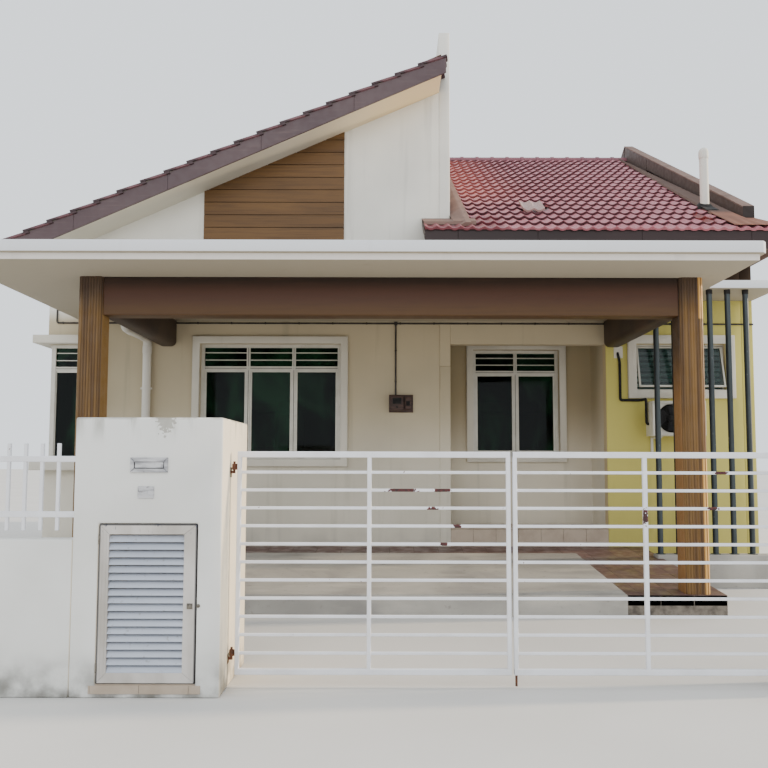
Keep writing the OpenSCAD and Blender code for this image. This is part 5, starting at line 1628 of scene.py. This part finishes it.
def make_apron():
    lo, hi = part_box("porch_apron")
    drive_lo, drive_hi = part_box("carport_floor")
    fall = (hi.z - 0.21) / (wall_face - lo.y)

    def level(y):
        return hi.z - fall * (wall_face - y)

    bed, tiles = Parts(), Parts(lambda p: (p.x, p.y, p.z + level(p.y)))
    sides = [(lo.x, drive_lo.x), (drive_hi.x, hi.x)]
    for x, (y0, y1) in (((lo.x, hi.x), (drive_hi.y, wall_face)),
                        *((side, (lo.y, drive_hi.y)) for side in sides)):
        bed.prism([(y0, 0), (y1, 0), (y1, level(y1) - 0.002), (y0, level(y0) - 0.002)], *x, axis=0)
        tiled(tiles, x, (y0, y1), 0.0, (lo.x, wall_face))
    tiles.place = stay
    tiles.shade = 0.4
    top = level(lo.y)
    for x0, x1 in sides:
        for a, b in cut(x0, x1, round((x1 - x0) / TILE)):
            tiles.box((a + 0.0015, lo.y, top - 0.10), (b - 0.0015, lo.y + 0.01, top), 0.0015)
    finished("apron_bed", bed, "mortar", "porch_apron")
    finished("apron_tiles", tiles, "floor_tile")


def make_platform():
    lo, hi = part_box("entrance_platform")
    bed, tiles = Parts(), Parts()
    bed.box((lo.x, lo.y + 0.008, lo.z), (hi.x, hi.y, hi.z - 0.002), 0.001)
    tiled(tiles, (lo.x, hi.x), (lo.y + 0.012, hi.y), hi.z, (lo.x, lo.y + 0.012))
    for a, b in cut(lo.x, hi.x, round((hi.x - lo.x) / TILE)):
        tiles.box((a + 0.0015, lo.y, 0.40), (b - 0.0015, lo.y + 0.01, hi.z - 0.014), 0.0015)
        tiles.box((a + 0.0015, lo.y - 0.004, hi.z - 0.012), (b - 0.0015, lo.y + 0.014, hi.z), 0.003)
    finished("platform_bed", bed, "mortar", "entrance_platform")
    finished("platform_tiles", tiles, "step_tile")


for make in (make_windows, make_hopper, make_doors, make_poles, make_unit, make_unit_pipe, make_meter,
             make_conduit, make_bin_door, make_pier_fittings):
    make()
make_gate("left")
make_gate("right")
make_fence()
make_apron()
make_platform()


# LIGHT
def lamp(name, kind, energy, colour, at, aim, **settings):
    data = bpy.data.lights.new(name, kind)
    data.energy = energy
    data.color = colour
    for key, value in settings.items():
        setattr(data, key, value)
    holder = link(name, data)
    holder.location = at
    holder.rotation_euler = (Vector(aim) - Vector(at)).to_track_quat("-Z", "Y").to_euler()


def make_sky():
    world = bpy.data.worlds.new("sky")
    world.use_nodes = True
    bpy.context.scene.world = world
    back = world.node_tree.nodes["Background"]
    back.inputs["Color"].default_value = (0.84, 0.89, 0.94, 1)
    back.inputs["Strength"].default_value = 1.6


def make_floor():
    mesh = bpy.data.meshes.new("floor")
    reach = 120
    corners = [(-reach, -reach, 0), (reach, -reach, 0), (reach, reach, 0), (-reach, reach, 0)]
    mesh.from_pydata(corners, [], [(0, 1, 2, 3)])
    mesh.materials.append(LOOKS["studio_floor"])
    link("floor", mesh)


make_sky()
lamp("sun", "SUN", 4.5, (1.0, 0.80, 0.55), (0, 0, 0), (-1.0, -0.10, -0.30), angle=math.radians(3))
lamp("key", "AREA", 400, (1.0, 0.97, 0.93), (-3, -16, 9), (-0.7, 0, 2), shape="DISK", size=9)
make_floor()
